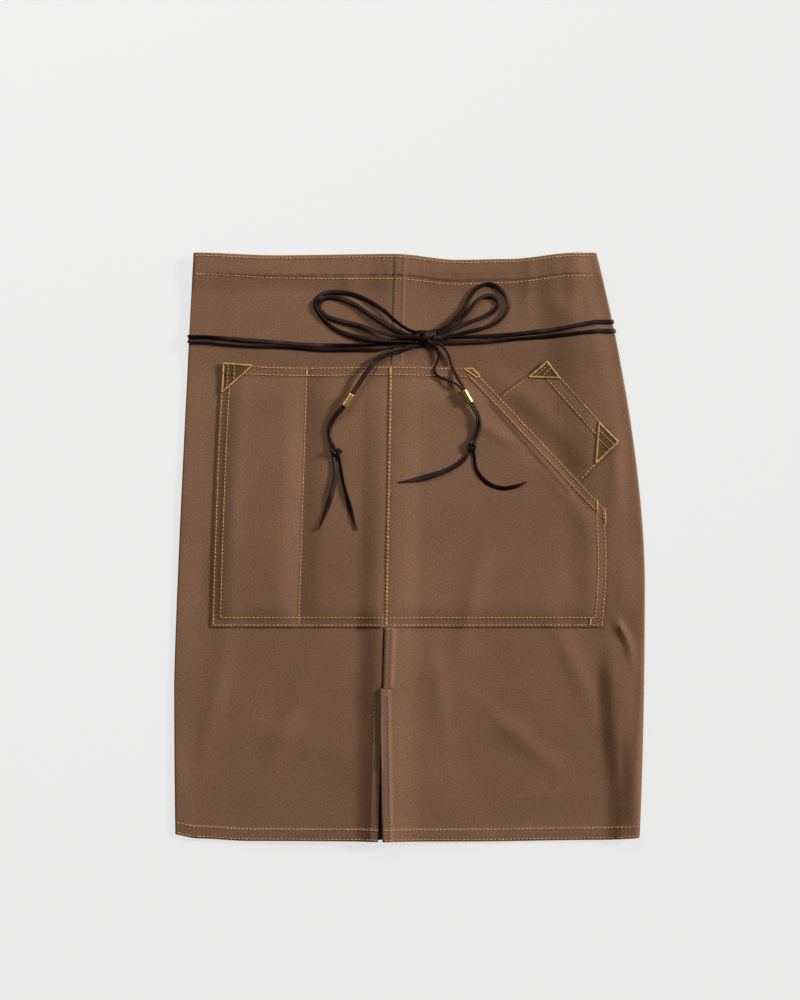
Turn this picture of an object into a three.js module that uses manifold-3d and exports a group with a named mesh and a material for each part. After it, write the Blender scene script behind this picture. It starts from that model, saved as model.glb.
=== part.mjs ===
// A split waist apron of cotton twill with doubled leather ties, laid flat with its front face up.
// Millimetres, +Z up. The waist is at +Y, the hem at -Y, the wearer's right hand at -X, and the
// origin is on the ground under the middle. The two sides are folded behind the front as wings. Each
// wing holds one leather lace, folded in half through two eyelets. Its two strands run under the
// wing, round the side fold and over the front to a bow, and end in a brass bead, a knot and two tips.
import * as THREE from 'three';
import { mergeVertices } from 'three/addons/utils/BufferGeometryUtils.js';
import Module from 'manifold-3d';

const wasm = await Module();
wasm.setup();

// Overall size
const LENGTH = 590; // waist edge of the back to the hem
const WIDTH = 471; // across the hips, its widest
const CLOTH = 0.7; // thickness of the twill
const GAP = 0.3; // clearance between pieces that touch
const LAYER_GAP = 0.4; // air between the front and a wing

// Side folds: how far each edge lies inside the hips at the waist and at the hem
const LEFT_SIDE = { sign: -1, waistInset: 19.7, bow: 1.2, hipAt: 0.73, hemInset: 1.3 };
const RIGHT_SIDE = { sign: 1, waistInset: 49, bow: 1.7, hipAt: 0.56, hemInset: 5.5 };
const FOLD_DEPTH = 24; // width of each side fold, front and back
const ARC_STEPS = 6; // facets round a side fold
const ROW_STEP = 45; // longest facet along the sides

// Front
const FRONT_DROP = 2; // the front's waist edge lies this far below the back's
const SEAM_AT_WAIST = -15.5; // centre seam, at the waist
const SEAM_AT_SLIT = -27.5; // centre seam, from the top of the slit down
const SLIT_LENGTH = 154;
const SLIT_MOUTH = 3.8; // how far the slit stands open at the hem
const FLAP_GAP = 0.4; // each side of the line that a leg flap folds on
const FLAP_START = 3; // the flap begins this far below the top of the slit
const FLAP_CORNER = 5; // the fold line ends this far inside the side fold at the hem

// Wings
const WING_END = 8; // from the middle of the back to each wing's end
const WING_HEM_RISE = 1; // the wings' hem lies this far above the front's
const BAND_DEPTH = 19.5; // of the stretch at the waist that is raised over the lace bridges
const BAND_RAMP = 8; // length of the rise below that stretch

// Main pocket
const POCKET_DROP = 113; // the front's waist line to the pocket's mouth
const POCKET_DEPTH = 261;
const PUFF = 4.4; // how far a pocket stands off the front
const SEWN = 2; // flat margin along a sewn edge
const RAMP = 8; // width of the slope between a sewn edge and the puffed cloth
const DIVIDER_X = -19; // centre divider, at the mouth
const DIVIDER_LEAN = -4.8; // how far each line moves sideways from the mouth to the bottom
const KNIFE_LEAN = -8.2;
const LEFT_LEAN = -11.5;
const MIDDLE_WIDTH = 83.6;
const KNIFE_WIDTH = 83.9;
const RIGHT_AT_MOUTH = 82; // divider to the top of the slanted mouth
const RIGHT_AT_CORNER = 214; // divider to the bottom of the slanted mouth
const RIGHT_AT_BOTTOM = 216.8;
const SLANT_DEPTH = 142; // height of the slanted mouth
const PATCH_ALONG = 34; // flat area under the corner patch, along the mouth
const PATCH_DOWN = 32; // and down the side

// Small pocket, tilted, its bottom under the slanted mouth
const SMALL_MOUTH = 108;
const SMALL_DEPTH = 72;
const SMALL_TILT = -0.847; // direction of the mouth from its upper corner, radians
const SMALL_UPPER_LEAN = -2.509; // directions of its two sides, down from the mouth
const SMALL_LOWER_LEAN = -2.329;
const SMALL_CORNER = new THREE.Vector2(137.5, LENGTH / 2 - 109);
const SMALL_HIDDEN = 17; // depth of the sewn strip under the main pocket
const SMALL_PATCH_ALONG = 24;
const SMALL_PATCH_DOWN = 26;
const PATCH_THICKNESS = 0.6;

// Leather laces
const LACE_WIDTH = 3.8;
const LACE_THICKNESS = 1.6;
const PAIR_GAP = 0.6; // between two strands side by side
const BEND_REACH = 8; // straight part of a lace each side of its bend round the side fold
const BEND_CLEARANCE = 0.6; // the bend's inner face to the cloth, at the outermost point
const END_GAP = 0.45; // between the ends of two lengths of the same lace

// Eyelets, beads and knots
const EYELET_BORE = 2.4;
const EYELET_WALL = 0.35;
const EYELET_FLANGE = 4.75;
const EYELET_SHEET = 0.4;
const EYELET_DROP = 17; // the wing's waist edge to the eyelets
const EYELETS_FROM_END = [8, 24]; // the wing's end to each eyelet
const BEAD_LENGTH = 14;
const BEAD_RADIUS = 3;
const BEAD_WALL = 0.5;
const TAIL_WIDTH = BEAD_RADIUS - BEAD_WALL - 0.4; // a strand where it is squeezed through its bead
const BOW_KNOT = { centre: [17, LENGTH / 2 - 85.5], rx: 15, ry: 8.5, height: 8.4 };
const LEFT_END_KNOT = { centre: [-73.5, LENGTH / 2 - 199.8], rx: 6.3, ry: 5, height: 5.4 };
const RIGHT_END_KNOT = { centre: [62, LENGTH / 2 - 194], rx: 5, ry: 6, height: 5.4 };

// Heights that follow from the sizes above
const waistY = LENGTH / 2;
const hemY = -LENGTH / 2;
const frontTopY = waistY - FRONT_DROP;
const slitTopY = hemY + SLIT_LENGTH;
const pocketTopY = waistY - POCKET_DROP;
const pocketBottomY = pocketTopY - POCKET_DEPTH;
const cornerY = pocketTopY - SLANT_DEPTH;
const liftTopY = waistY - 93; // the wings are raised by the laces under them above this line
const liftBottomY = liftTopY - 15;
const bandTopY = waistY - BAND_DEPTH;
const bandBottomY = bandTopY - BAND_RAMP;
const laceLift = LACE_THICKNESS + GAP + EYELET_SHEET + GAP;
const bridgeLift = 2 * GAP + EYELET_SHEET + LACE_THICKNESS + GAP - LAYER_GAP;
const frontBase = CLOTH + LAYER_GAP; // underside of the front over a wing's underside
const frontSkin = frontBase + CLOTH; // top of the front
const pocketBase = frontSkin + GAP;
const pocketSkin = pocketBase + CLOTH + PUFF; // top of a puffed pocket
const underLaceZ = LACE_THICKNESS / 2;
const frontLaceZ = laceLift + frontSkin + GAP + LACE_THICKNESS / 2;
const laceLevel = LACE_THICKNESS + GAP; // one lace crossing over another
const pocketLaceZ = pocketSkin + GAP + LACE_THICKNESS / 2;
const beadZ = pocketSkin + GAP + BEAD_RADIUS;

const twill = { color: 0x80614a, roughness: 0.95, metalness: 0 };
const patchCloth = { color: 0x5a4830, roughness: 0.95, metalness: 0 };
const leather = { color: 0x2b1d1a, roughness: 0.55, metalness: 0 };
const brass = { color: 0xbea550, roughness: 0.3, metalness: 1 };

const apron = new THREE.Group();

function add(name, geometry, finish) {
  const mesh = new THREE.Mesh(geometry, new THREE.MeshStandardMaterial(finish));
  mesh.name = name;
  apron.add(mesh);
  return mesh;
}

// Solids from two matching grids of points

function volume(positions, index) {
  const corner = [new THREE.Vector3(), new THREE.Vector3(), new THREE.Vector3()];
  let total = 0;
  for (let i = 0; i < index.length; i += 3) {
    corner.forEach((v, k) => v.fromArray(positions, 3 * index[i + k]));
    total += corner[0].dot(corner[1].cross(corner[2])) / 6;
  }
  return total;
}

// A closed shell whose two faces are grids of [x, y, z] points with the same rows and columns
function shell(upper, lower) {
  const rowCount = upper.length;
  const columns = upper[0].length;
  const positions = [...upper.flat(), ...lower.flat()].flat();
  const below = rowCount * columns;
  const at = (i, j) => i * columns + j;
  const index = [];
  const quad = (a, b, c, d) => index.push(a, b, c, a, c, d);
  for (let i = 0; i + 1 < rowCount; i++) {
    for (let j = 0; j + 1 < columns; j++) {
      const [a, b, c, d] = [at(i, j), at(i, j + 1), at(i + 1, j + 1), at(i + 1, j)];
      quad(a, b, c, d);
      quad(d + below, c + below, b + below, a + below);
    }
    for (const [j, turned] of [[0, true], [columns - 1, false]]) {
      const [a, b] = turned ? [at(i + 1, j), at(i, j)] : [at(i, j), at(i + 1, j)];
      quad(b, a, a + below, b + below);
    }
  }
  for (let j = 0; j + 1 < columns; j++) {
    for (const [i, turned] of [[0, false], [rowCount - 1, true]]) {
      const [a, b] = turned ? [at(i, j + 1), at(i, j)] : [at(i, j), at(i, j + 1)];
      quad(b, a, a + below, b + below);
    }
  }
  if (volume(positions, index) < 0) index.reverse();
  const geometry = new THREE.BufferGeometry();
  geometry.setAttribute('position', new THREE.Float32BufferAttribute(positions, 3));
  geometry.setIndex(index);
  return geometry;
}

const lift = (grid, rise) => grid.map((row) => row.map(([x, y, z]) => [x, y, z + rise]));
const ramp = (value) => Math.min(1, Math.max(0, value));
const along = (a, b, t) => a + (b - a) * t;

// Heights of the cloth along the apron
const laceRise = (y) => laceLift * ramp((y - liftBottomY) / (liftTopY - liftBottomY));
const bandRise = (y) => bridgeLift * ramp((y - bandBottomY) / BAND_RAMP);
const frontRise = (y) => laceRise(y) + bandRise(y);

// How far a side edge lies inside the hips at a height
function inset(side, y) {
  const down = (waistY - y) / LENGTH;
  if (down < side.hipAt) return side.waistInset * (1 - down / side.hipAt) ** side.bow;
  return side.hemInset * ((down - side.hipAt) / (1 - side.hipAt)) ** 2;
}
const sideX = (side, y) => side.sign * (WIDTH / 2 - inset(side, y));

// Heights at which every layer of cloth has a row of points
function rows(low, high) {
  const fixed = [slitTopY, liftBottomY, liftTopY, bandBottomY, bandTopY];
  const steps = Math.round(LENGTH / ROW_STEP);
  for (let i = 1; i < steps; i++) fixed.push(hemY + (LENGTH * i) / steps);
  const inside = fixed.filter((y) => y > low + 1 && y < high - 1).sort((a, b) => a - b);
  return [low, ...inside, high];
}

// A flat length of cloth between two edges, each a function of height
function panel(low, high, leftEdge, rightEdge, rise) {
  const lower = rows(low, high).map((y) => [
    [leftEdge(y), y, rise(y)],
    [rightEdge(y), y, rise(y)],
  ]);
  return shell(lift(lower, CLOTH), lower);
}

// Side folds: a C round the edge, from the front to the wing
function sideFold(side) {
  const outer = [];
  const inner = [];
  for (const y of rows(hemY, frontTopY)) {
    const bottom = laceRise(y);
    const top = frontRise(y) + frontSkin;
    const radius = (top - bottom) / 2;
    const middle = (top + bottom) / 2;
    const edge = sideX(side, y);
    const start = edge - side.sign * FOLD_DEPTH;
    const centre = edge - side.sign * radius;
    const arc = (r) => Array.from({ length: ARC_STEPS + 1 }, (_, i) => {
      const angle = Math.PI * (0.5 - i / ARC_STEPS);
      return [centre + side.sign * r * Math.cos(angle), y, middle + r * Math.sin(angle)];
    });
    outer.push([[start, y, top], ...arc(radius), [start, y, bottom]]);
    inner.push([[start, y, top - CLOTH], ...arc(radius - CLOTH), [start, y, bottom + CLOTH]]);
  }
  return shell(outer, inner);
}

// Front panels and leg flaps. The flap's fold line runs from the top of the slit to the hem's corner
const seamX = (y) => along(SEAM_AT_SLIT, SEAM_AT_WAIST, ramp((y - slitTopY) / (waistY - slitTopY)));
const foldEdge = (side, y) => sideX(side, y) - side.sign * (FOLD_DEPTH + GAP);
const flapLine = (side, y) => along(
  SEAM_AT_SLIT, foldEdge(side, hemY) - side.sign * FLAP_CORNER, (slitTopY - y) / SLIT_LENGTH);
const slitEdge = (side, y) => SEAM_AT_SLIT
  + side.sign * GAP / 2 - (side.sign < 0 ? SLIT_MOUTH * (slitTopY - y) / SLIT_LENGTH : 0);

function frontPanel(side) {
  const innerEdge = (y) => (y >= slitTopY
    ? seamX(y) + side.sign * GAP / 2
    : flapLine(side, y) + side.sign * FLAP_GAP);
  const rise = (y) => frontRise(y) + frontBase;
  return panel(hemY, frontTopY, innerEdge, (y) => foldEdge(side, y), rise);
}

function legFlap(side) {
  const outerEdge = (y) => flapLine(side, y) - side.sign * FLAP_GAP;
  const rise = (y) => frontRise(y) + frontBase;
  return panel(hemY, slitTopY - FLAP_START, (y) => slitEdge(side, y), outerEdge, rise);
}

// Solids for joining and cutting
function solid(geometry) {
  const plain = geometry.clone();
  plain.deleteAttribute('normal');
  plain.deleteAttribute('uv');
  const merged = mergeVertices(plain, 1e-4);
  return new wasm.Manifold(new wasm.Mesh({
    numProp: 3,
    vertProperties: new Float32Array(merged.attributes.position.array),
    triVerts: new Uint32Array(merged.index.array),
  }));
}

function geometryOf(manifold) {
  const mesh = manifold.getMesh();
  const geometry = new THREE.BufferGeometry();
  geometry.setAttribute('position', new THREE.BufferAttribute(mesh.vertProperties, 3));
  geometry.setIndex(new THREE.BufferAttribute(mesh.triVerts, 1));
  return geometry;
}

// Wings and their eyelets
const eyeletY = waistY - EYELET_DROP;
const eyeletXs = (side) => EYELETS_FROM_END.map((d) => side.sign * (WING_END + d));

function wingPanel(side) {
  const end = () => side.sign * WING_END;
  const cloth = panel(hemY + WING_HEM_RISE, waistY, end, (y) => foldEdge(side, y), laceRise);
  let body = solid(cloth);
  for (const x of eyeletXs(side)) {
    const hole = new THREE.CylinderGeometry(
      EYELET_BORE + EYELET_WALL + GAP, EYELET_BORE + EYELET_WALL + GAP, 4 * CLOTH, 20);
    hole.rotateX(Math.PI / 2).translate(x, eyeletY, laceLift + CLOTH / 2);
    body = body.subtract(solid(hole));
  }
  return geometryOf(body);
}

// A ring turned from a closed outline of [radius, height] points, standing on +Z
function turned(outline) {
  const points = [...outline, outline[0]].map(([r, z]) => new THREE.Vector2(r, z));
  return new THREE.LatheGeometry(points, 20).rotateX(Math.PI / 2);
}

function eyeletGeometry() {
  const wall = EYELET_BORE + EYELET_WALL;
  const top = EYELET_SHEET + 2 * GAP + CLOTH + EYELET_SHEET;
  return turned([[EYELET_BORE, 0], [EYELET_FLANGE, 0], [EYELET_FLANGE, EYELET_SHEET],
    [wall, EYELET_SHEET], [wall, top], [EYELET_BORE, top]]);
}

function washerGeometry() {
  const bore = EYELET_BORE + EYELET_WALL + GAP;
  return turned([[bore, 0], [EYELET_FLANGE, 0], [EYELET_FLANGE, EYELET_SHEET],
    [bore, EYELET_SHEET]]);
}

function addEyelets(prefix, side) {
  eyeletXs(side).forEach((x, i) => {
    const place = i === 0 ? 'inner' : 'outer';
    const flangeZ = laceLift - GAP - EYELET_SHEET;
    add(`${prefix}_${place}_eyelet`, eyeletGeometry(), brass).position.set(x, eyeletY, flangeZ);
    const washerZ = laceLift + CLOTH + GAP;
    add(`${prefix}_${place}_washer`, washerGeometry(), brass).position.set(x, eyeletY, washerZ);
  });
}

// Pockets: a height of 0 is sewn flat and 1 is fully puffed
const slope = (distance) => ramp((distance - SEWN) / RAMP);

function pocketShell(grid) {
  const lower = grid.map((row) => row.map(([x, y, high]) => [x, y, pocketBase + PUFF * high]));
  return shell(lift(lower, CLOTH), lower);
}

// Distances across a compartment, from one sewn line to the next, where the slope changes
const acrossStations = (width, from = 0) => [
  0, SEWN, SEWN + RAMP, ...(from ? [from, from + RAMP] : []),
  width - SEWN - RAMP, width - SEWN, width];

function mainPocketRow(y) {
  const down = (pocketTopY - y) / POCKET_DEPTH;
  const divider = DIVIDER_X + DIVIDER_LEAN * down;
  const knife = DIVIDER_X - MIDDLE_WIDTH + KNIFE_LEAN * down;
  const left = DIVIDER_X - MIDDLE_WIDTH - KNIFE_WIDTH + LEFT_LEAN * down;
  const corner = SLANT_DEPTH / POCKET_DEPTH;
  const right = divider + (down < corner
    ? along(RIGHT_AT_MOUTH, RIGHT_AT_CORNER, down / corner)
    : along(RIGHT_AT_CORNER, RIGHT_AT_BOTTOM, (down - corner) / (1 - corner)));
  const bottom = slope(y - pocketBottomY);
  const points = [];
  const compartment = (from, to, stations, height) => {
    for (const offset of stations) {
      if (points.length && offset === 0) continue;
      points.push([from + offset, y, Math.min(bottom, height(offset, to - from))]);
    }
  };
  const patched = (offset) => Math.max(
    ramp((offset - PATCH_ALONG) / RAMP), ramp((pocketTopY - PATCH_DOWN - y) / RAMP));
  const between = (offset, width) => Math.min(slope(offset), slope(width - offset));
  compartment(left, knife, acrossStations(knife - left, PATCH_ALONG),
    (offset, width) => Math.min(between(offset, width), patched(offset)));
  compartment(knife, divider, acrossStations(divider - knife), between);
  const open = ramp((y - cornerY - SEWN) / RAMP);
  compartment(divider, right, acrossStations(right - divider),
    (offset, width) => Math.min(slope(offset), Math.max(open, slope(width - offset))));
  return points;
}

function mainPocket() {
  const breaks = [pocketBottomY, pocketBottomY + SEWN, pocketBottomY + SEWN + RAMP,
    cornerY, cornerY + SEWN, cornerY + SEWN + RAMP,
    pocketTopY - PATCH_DOWN - RAMP, pocketTopY - PATCH_DOWN, pocketTopY];
  return pocketShell(breaks.map(mainPocketRow));
}

// The small pocket's corners: two at its mouth and two hidden under the main pocket
function smallPocketCorners() {
  const step = (from, angle, length) => from.clone().add(
    new THREE.Vector2(Math.cos(angle), Math.sin(angle)).multiplyScalar(length));
  const upper = SMALL_CORNER;
  const lower = step(upper, SMALL_TILT, SMALL_MOUTH);
  return [upper, lower, step(upper, SMALL_UPPER_LEAN, SMALL_DEPTH),
    step(lower, SMALL_LOWER_LEAN, SMALL_DEPTH)];
}

function smallPocket() {
  const [upper, lower, upperDeep, lowerDeep] = smallPocketCorners();
  const across = [0, SEWN, SEWN + RAMP, SMALL_PATCH_ALONG, SMALL_PATCH_ALONG + RAMP];
  const stations = [...across, ...across.map((d) => SMALL_MOUTH - d).reverse()];
  const deep = [0, SMALL_PATCH_DOWN, SMALL_PATCH_DOWN + RAMP, SMALL_DEPTH - SMALL_HIDDEN - RAMP,
    SMALL_DEPTH - SMALL_HIDDEN, SMALL_DEPTH];
  const grid = deep.map((d) => stations.map((u) => {
    const start = upper.clone().lerp(upperDeep, d / SMALL_DEPTH);
    const point = start.lerp(lower.clone().lerp(lowerDeep, d / SMALL_DEPTH), u / SMALL_MOUTH);
    const side = Math.min(u, SMALL_MOUTH - u);
    const patched = Math.max(ramp((side - SMALL_PATCH_ALONG) / RAMP),
      ramp((d - SMALL_PATCH_DOWN) / RAMP));
    const bottom = ramp((SMALL_DEPTH - SMALL_HIDDEN - d) / RAMP);
    return [point.x, point.y, Math.min(slope(side), patched, bottom)];
  }));
  return pocketShell(grid);
}

// A flat triangular patch on a pocket's sewn corner: the corner, one leg along the mouth, one down
function patch(corner, alongAngle, alongLength, downAngle, downLength) {
  const leg = (angle, length) => new THREE.Vector2(
    corner.x + Math.cos(angle) * length, corner.y + Math.sin(angle) * length);
  const outline = new THREE.Shape([corner, leg(alongAngle, alongLength), leg(downAngle, downLength)]);
  const plate = new THREE.ExtrudeGeometry(outline, { depth: PATCH_THICKNESS, bevelEnabled: false });
  return plate.translate(0, 0, pocketBase + CLOTH + GAP);
}

// Laces: a flat eight-sided section carried along a route of [x, y, z] points. The path's frame
// starts upright when its first direction is most nearly level, and lies on its side otherwise
function lace(route, width, steps) {
  const points = route.map(([x, y, z]) => new THREE.Vector3(x, y, z));
  const path = new THREE.CatmullRomCurve3(points, false, 'centripetal');
  const start = path.getTangentAt(0);
  const upright = Math.abs(start.z) <= Math.min(Math.abs(start.x), Math.abs(start.y));
  const reach = 1 / Math.cos(Math.PI / 8) / 2;
  const section = new THREE.Shape(Array.from({ length: 8 }, (_, i) => {
    const angle = (Math.PI * (i + 0.5)) / 4;
    const across = Math.cos(angle) * reach * (upright ? LACE_THICKNESS : width);
    return new THREE.Vector2(across, Math.sin(angle) * reach * (upright ? width : LACE_THICKNESS));
  }));
  return new THREE.ExtrudeGeometry(section, { steps, extrudePath: path });
}

// The same route moved sideways, to the left of its direction
function beside(route, distance) {
  return route.map(([x, y, z], i) => {
    const before = route[Math.max(0, i - 1)];
    const after = route[Math.min(route.length - 1, i + 1)];
    const length = Math.hypot(after[0] - before[0], after[1] - before[1]);
    return [x - (distance * (after[1] - before[1])) / length,
      y + (distance * (after[0] - before[0])) / length, z];
  });
}

const atLevel = ([x, y, level]) => [x, y, frontLaceZ + level * laceLevel];

// A knot is an upright oval block with eased edges, and every strand ends at its wall
function knotShape({ rx, ry }, grow) {
  const oval = new THREE.Shape();
  oval.absellipse(0, 0, rx + grow, ry + grow, 0, 2 * Math.PI);
  return oval;
}

function knot(size) {
  const ease = 1.5;
  const geometry = new THREE.ExtrudeGeometry(knotShape(size, -ease), {
    depth: size.height - 2 * ease, bevelThickness: ease, bevelSize: ease, bevelSegments: 2,
    curveSegments: 10,
  });
  return geometry.translate(0, 0, ease);
}

function cutByKnot(geometry, ...knots) {
  let body = solid(geometry);
  for (const size of knots) {
    const wall = new THREE.ExtrudeGeometry(knotShape(size, GAP), {
      depth: 60, bevelEnabled: false, curveSegments: 10 });
    wall.translate(size.centre[0], size.centre[1], -20);
    body = body.subtract(solid(wall));
  }
  return geometryOf(body);
}

// Routes of the two strands of each lace, from the eyelets to the tips. A loop's third number counts
// the laces that it crosses over, and the other routes give a height. They are laid out for a waist
// at ROUTE_WAIST, and move with it
const ROUTE_WAIST = 295;
const placed = (route) => route.map(([x, y, ...rest]) => [x, y + waistY - ROUTE_WAIST, ...rest]);
const LEFT_UNDER = placed([[-48, 274.5], [-80, 261], [-130, 231], [-176, 213]]);
const RIGHT_UNDER = placed([[48, 274.5], [80, 262], [122, 243], [160, 229]]);
const LEFT_RUN = placed([[-150, 203.8], [-83.5, 199.3], [-29.5, 200.9], [-4.5, 204.8], [12, 206.4]]);
const RIGHT_RUN_A = placed([[113.5, 213.5], [60.5, 209.9], [34, 209], [20, 208.5]]);
const RIGHT_RUN_B = placed([[113.5, 208.2], [60.5, 205.2], [34, 204.6], [20, 204.2]]);
const LEFT_OUTER_LOOP = placed([[14.5, 213, 2], [0.5, 216, 2], [-14.5, 226, 1.3], [-27.3, 237.4, 0.4],
  [-50.5, 250.5, 0], [-74.5, 255, 0], [-89.5, 251.5, 0], [-95, 243.5, 0], [-90, 231.5, 0],
  [-75.5, 218.5, 0], [-52.5, 210, 0.5], [-29.5, 206.5, 1], [-9.5, 206, 1], [14.5, 205.5, 1]]);
const LEFT_INNER_LOOP = placed([[14.5, 211, 1], [0.5, 211, 1], [-17.5, 219.5, 0.7], [-33.9, 230, 0.3],
  [-57.5, 241.5, 0], [-74.5, 245, 0], [-83.5, 242, 0], [-84.5, 236, 0], [-77.5, 229.5, 0],
  [-57.5, 223, 0.3], [-33.5, 215.5, 1.3], [-9.5, 209.5, 2.1], [14.5, 208.5, 2.1]]);
const RIGHT_OUTER_LOOP = placed([[16.5, 214, 2], [29.5, 216, 2], [42.5, 225.5, 1.3], [53.5, 237, 0.4],
  [60.5, 250, 0], [67.5, 258.5, 0], [79.5, 262.7, 0], [92.5, 256, 0], [99, 243, 0],
  [92.5, 229, 0.3], [79.5, 220.5, 0.6], [60.5, 215.5, 0.9], [42.5, 210.5, 1], [29.5, 206.5, 1],
  [16.5, 205.5, 1]]);
const RIGHT_INNER_LOOP = placed([[16.5, 211, 1], [31.5, 213, 1], [47.5, 223, 0.7], [59.5, 236, 0.3],
  [67.5, 246, 0], [75.5, 251, 0], [83.5, 250.5, 0], [88.5, 244, 0], [85.5, 237, 0],
  [77.5, 231.5, 0.2], [64.5, 226, 0.8], [48.5, 219, 1.7], [31.5, 209.5, 2.1], [16.5, 209, 2.1]]);
const overRunZ = frontLaceZ + laceLevel;
const midTailZ = (overRunZ + beadZ) / 2;
const LEFT_TAIL = placed([[9.5, 202.8, overRunZ], [-4, 197.6, overRunZ], [-20, 193.5, midTailZ - 0.5],
  [-32.5, 187, midTailZ], [-40.9, 177.1, beadZ], [-47.5, 167.4, beadZ], [-54, 157.6, beadZ],
  [-60.6, 147.9, beadZ], [-67.2, 138.1, beadZ], [-75.5, 128.5, midTailZ],
  [-80.3, 117, pocketLaceZ], [-78.5, 105, pocketLaceZ], [-74.6, 96, pocketLaceZ]]);
const LEFT_BEAD = { at: [-61.4, waistY - 148.4], towards: [0.56, 0.828] };
const RIGHT_BEAD = { at: [57.75, waistY - 144.75], towards: [0.489, -0.872] };
const pairSpacing = (width) => (width + PAIR_GAP) / 2;
const tailSpacing = pairSpacing(TAIL_WIDTH - PAIR_GAP / 2);

// The straight part of a strand through the right bead, beside the bead's axis
function throughRightBead(offset) {
  const { at: [x, y], towards: [dx, dy] } = RIGHT_BEAD;
  return [-9, 0, 12, 17, 21].map((t) => [x + t * dx - offset * dy, y + t * dy + offset * dx, beadZ]);
}

const RIGHT_TAIL_A = [...placed([[19.5, 204.5, overRunZ], [26.5, 200, overRunZ],
  [29.5, 193, overRunZ], [27.5, 185, pocketLaceZ], [24.5, 177.5, pocketLaceZ],
  [28, 171, pocketLaceZ + 0.4], [37, 167, midTailZ], [46, 163, beadZ]]),
...throughRightBead(-tailSpacing),
...placed([[67.6, 122, midTailZ], [64.6, 112, pocketLaceZ], [60.9, 103, pocketLaceZ]])];
const RIGHT_TAIL_B = [...placed([[24, 206, overRunZ], [33, 200.5, overRunZ], [39, 192, overRunZ],
  [42.3, 181, pocketLaceZ], [47.6, 169.8, midTailZ]]),
...throughRightBead(tailSpacing),
...placed([[70.2, 122, midTailZ], [67.3, 111.5, pocketLaceZ], [63.6, 102, pocketLaceZ]])];
const LEFT_TIPS = [
  [[-76, 95], [-75.4, 88], [-73.5, 71], [-78.9, 49.2], [-91.1, 17]],
  [[-70.9, 95], [-69.8, 88], [-66.5, 64.5], [-60.5, 41.6], [-52.1, 16.3]]].map(placed);
const RIGHT_TIPS = [
  [[59.3, 101], [58, 94], [52.8, 86], [35.9, 76], [13, 69.1], [-11.5, 64.5]],
  [[64, 101], [64.2, 93], [67, 76.8], [77.2, 64.5], [92.5, 58.4], [104.8, 60], [117, 65.3]],
].map(placed);
// Height at which each strand rounds the side fold
const LEFT_WRAP = [waistY - 85, waistY - 89.1];
const RIGHT_WRAP = [waistY - 70, waistY - 79];

const withZ = (z) => ([x, y]) => [x, y, z];

// Up through the outer eyelet, across the inside of the wing, and down through the inner one
function laceBridge(side) {
  const [inner, outer] = eyeletXs(side);
  const s = side.sign;
  const top = laceLift + CLOTH + GAP + EYELET_SHEET + GAP + LACE_THICKNESS / 2;
  const turn = LACE_THICKNESS * 0.8;
  const y = eyeletY;
  return [
    [outer + 7 * s, y, underLaceZ], [outer + 3.2 * s, y, underLaceZ],
    [outer + turn * s * 0.7, y, underLaceZ + 0.4], [outer, y, underLaceZ + 2 * turn],
    [outer, y, top - 2 * turn + 0.3], [outer - turn * s * 0.7, y, top - 0.4],
    [outer - 3.2 * s, y, top], [inner + 3.2 * s, y, top], [inner + turn * s * 0.7, y, top - 0.4],
    [inner, y, top - 2 * turn + 0.3], [inner, y, underLaceZ + 2 * turn],
    [inner + turn * s * 0.7, y, underLaceZ + 0.4], [inner + 3.2 * s, y, underLaceZ],
    [inner + 7 * s, y, underLaceZ]];
}

// A strand's run under the wing, from its eyelet to where the bend round the fold begins
function underRun(side, route, strand, wrapY) {
  const [inner, outer] = eyeletXs(side);
  const from = strand === 0 ? outer : inner;
  const shifted = beside(route, (strand === 0 ? side.sign : -side.sign) * pairSpacing(LACE_WIDTH));
  const end = sideX(side, wrapY) - side.sign * (BEND_REACH + END_GAP);
  const start = [[from + side.sign * (7 + END_GAP), eyeletY]];
  if (strand === 1) {
    start.push([from + side.sign * (9 + END_GAP), eyeletY]);
    start.push([outer - side.sign, eyeletY - LACE_WIDTH - 1.8]);
  }
  return [...start, ...shifted, [end - side.sign * 4, wrapY], [end, wrapY]].map(withZ(underLaceZ));
}

// The bend of a strand round the side fold, from under the wing to the top of the front
function bend(side, wrapY) {
  const radius = (frontLaceZ - underLaceZ) / 2;
  const edge = sideX(side, wrapY);
  const centre = edge + side.sign * (BEND_CLEARANCE + LACE_THICKNESS / 2 - radius);
  const start = edge - side.sign * BEND_REACH;
  const points = [[start, wrapY, underLaceZ]];
  for (let i = 0; i <= 8; i++) {
    const angle = Math.PI * (i / 8 - 0.5);
    points.push([centre + side.sign * radius * Math.cos(angle), wrapY,
      underLaceZ + radius * (1 + Math.sin(angle))]);
  }
  return [...points, [start, wrapY, frontLaceZ]];
}

function frontRun(side, wrapY, route) {
  const start = sideX(side, wrapY) - side.sign * (BEND_REACH + END_GAP);
  const lead = [[start, wrapY], [start - side.sign * 4, wrapY]];
  return [...lead, ...route].map(withZ(frontLaceZ));
}

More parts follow.
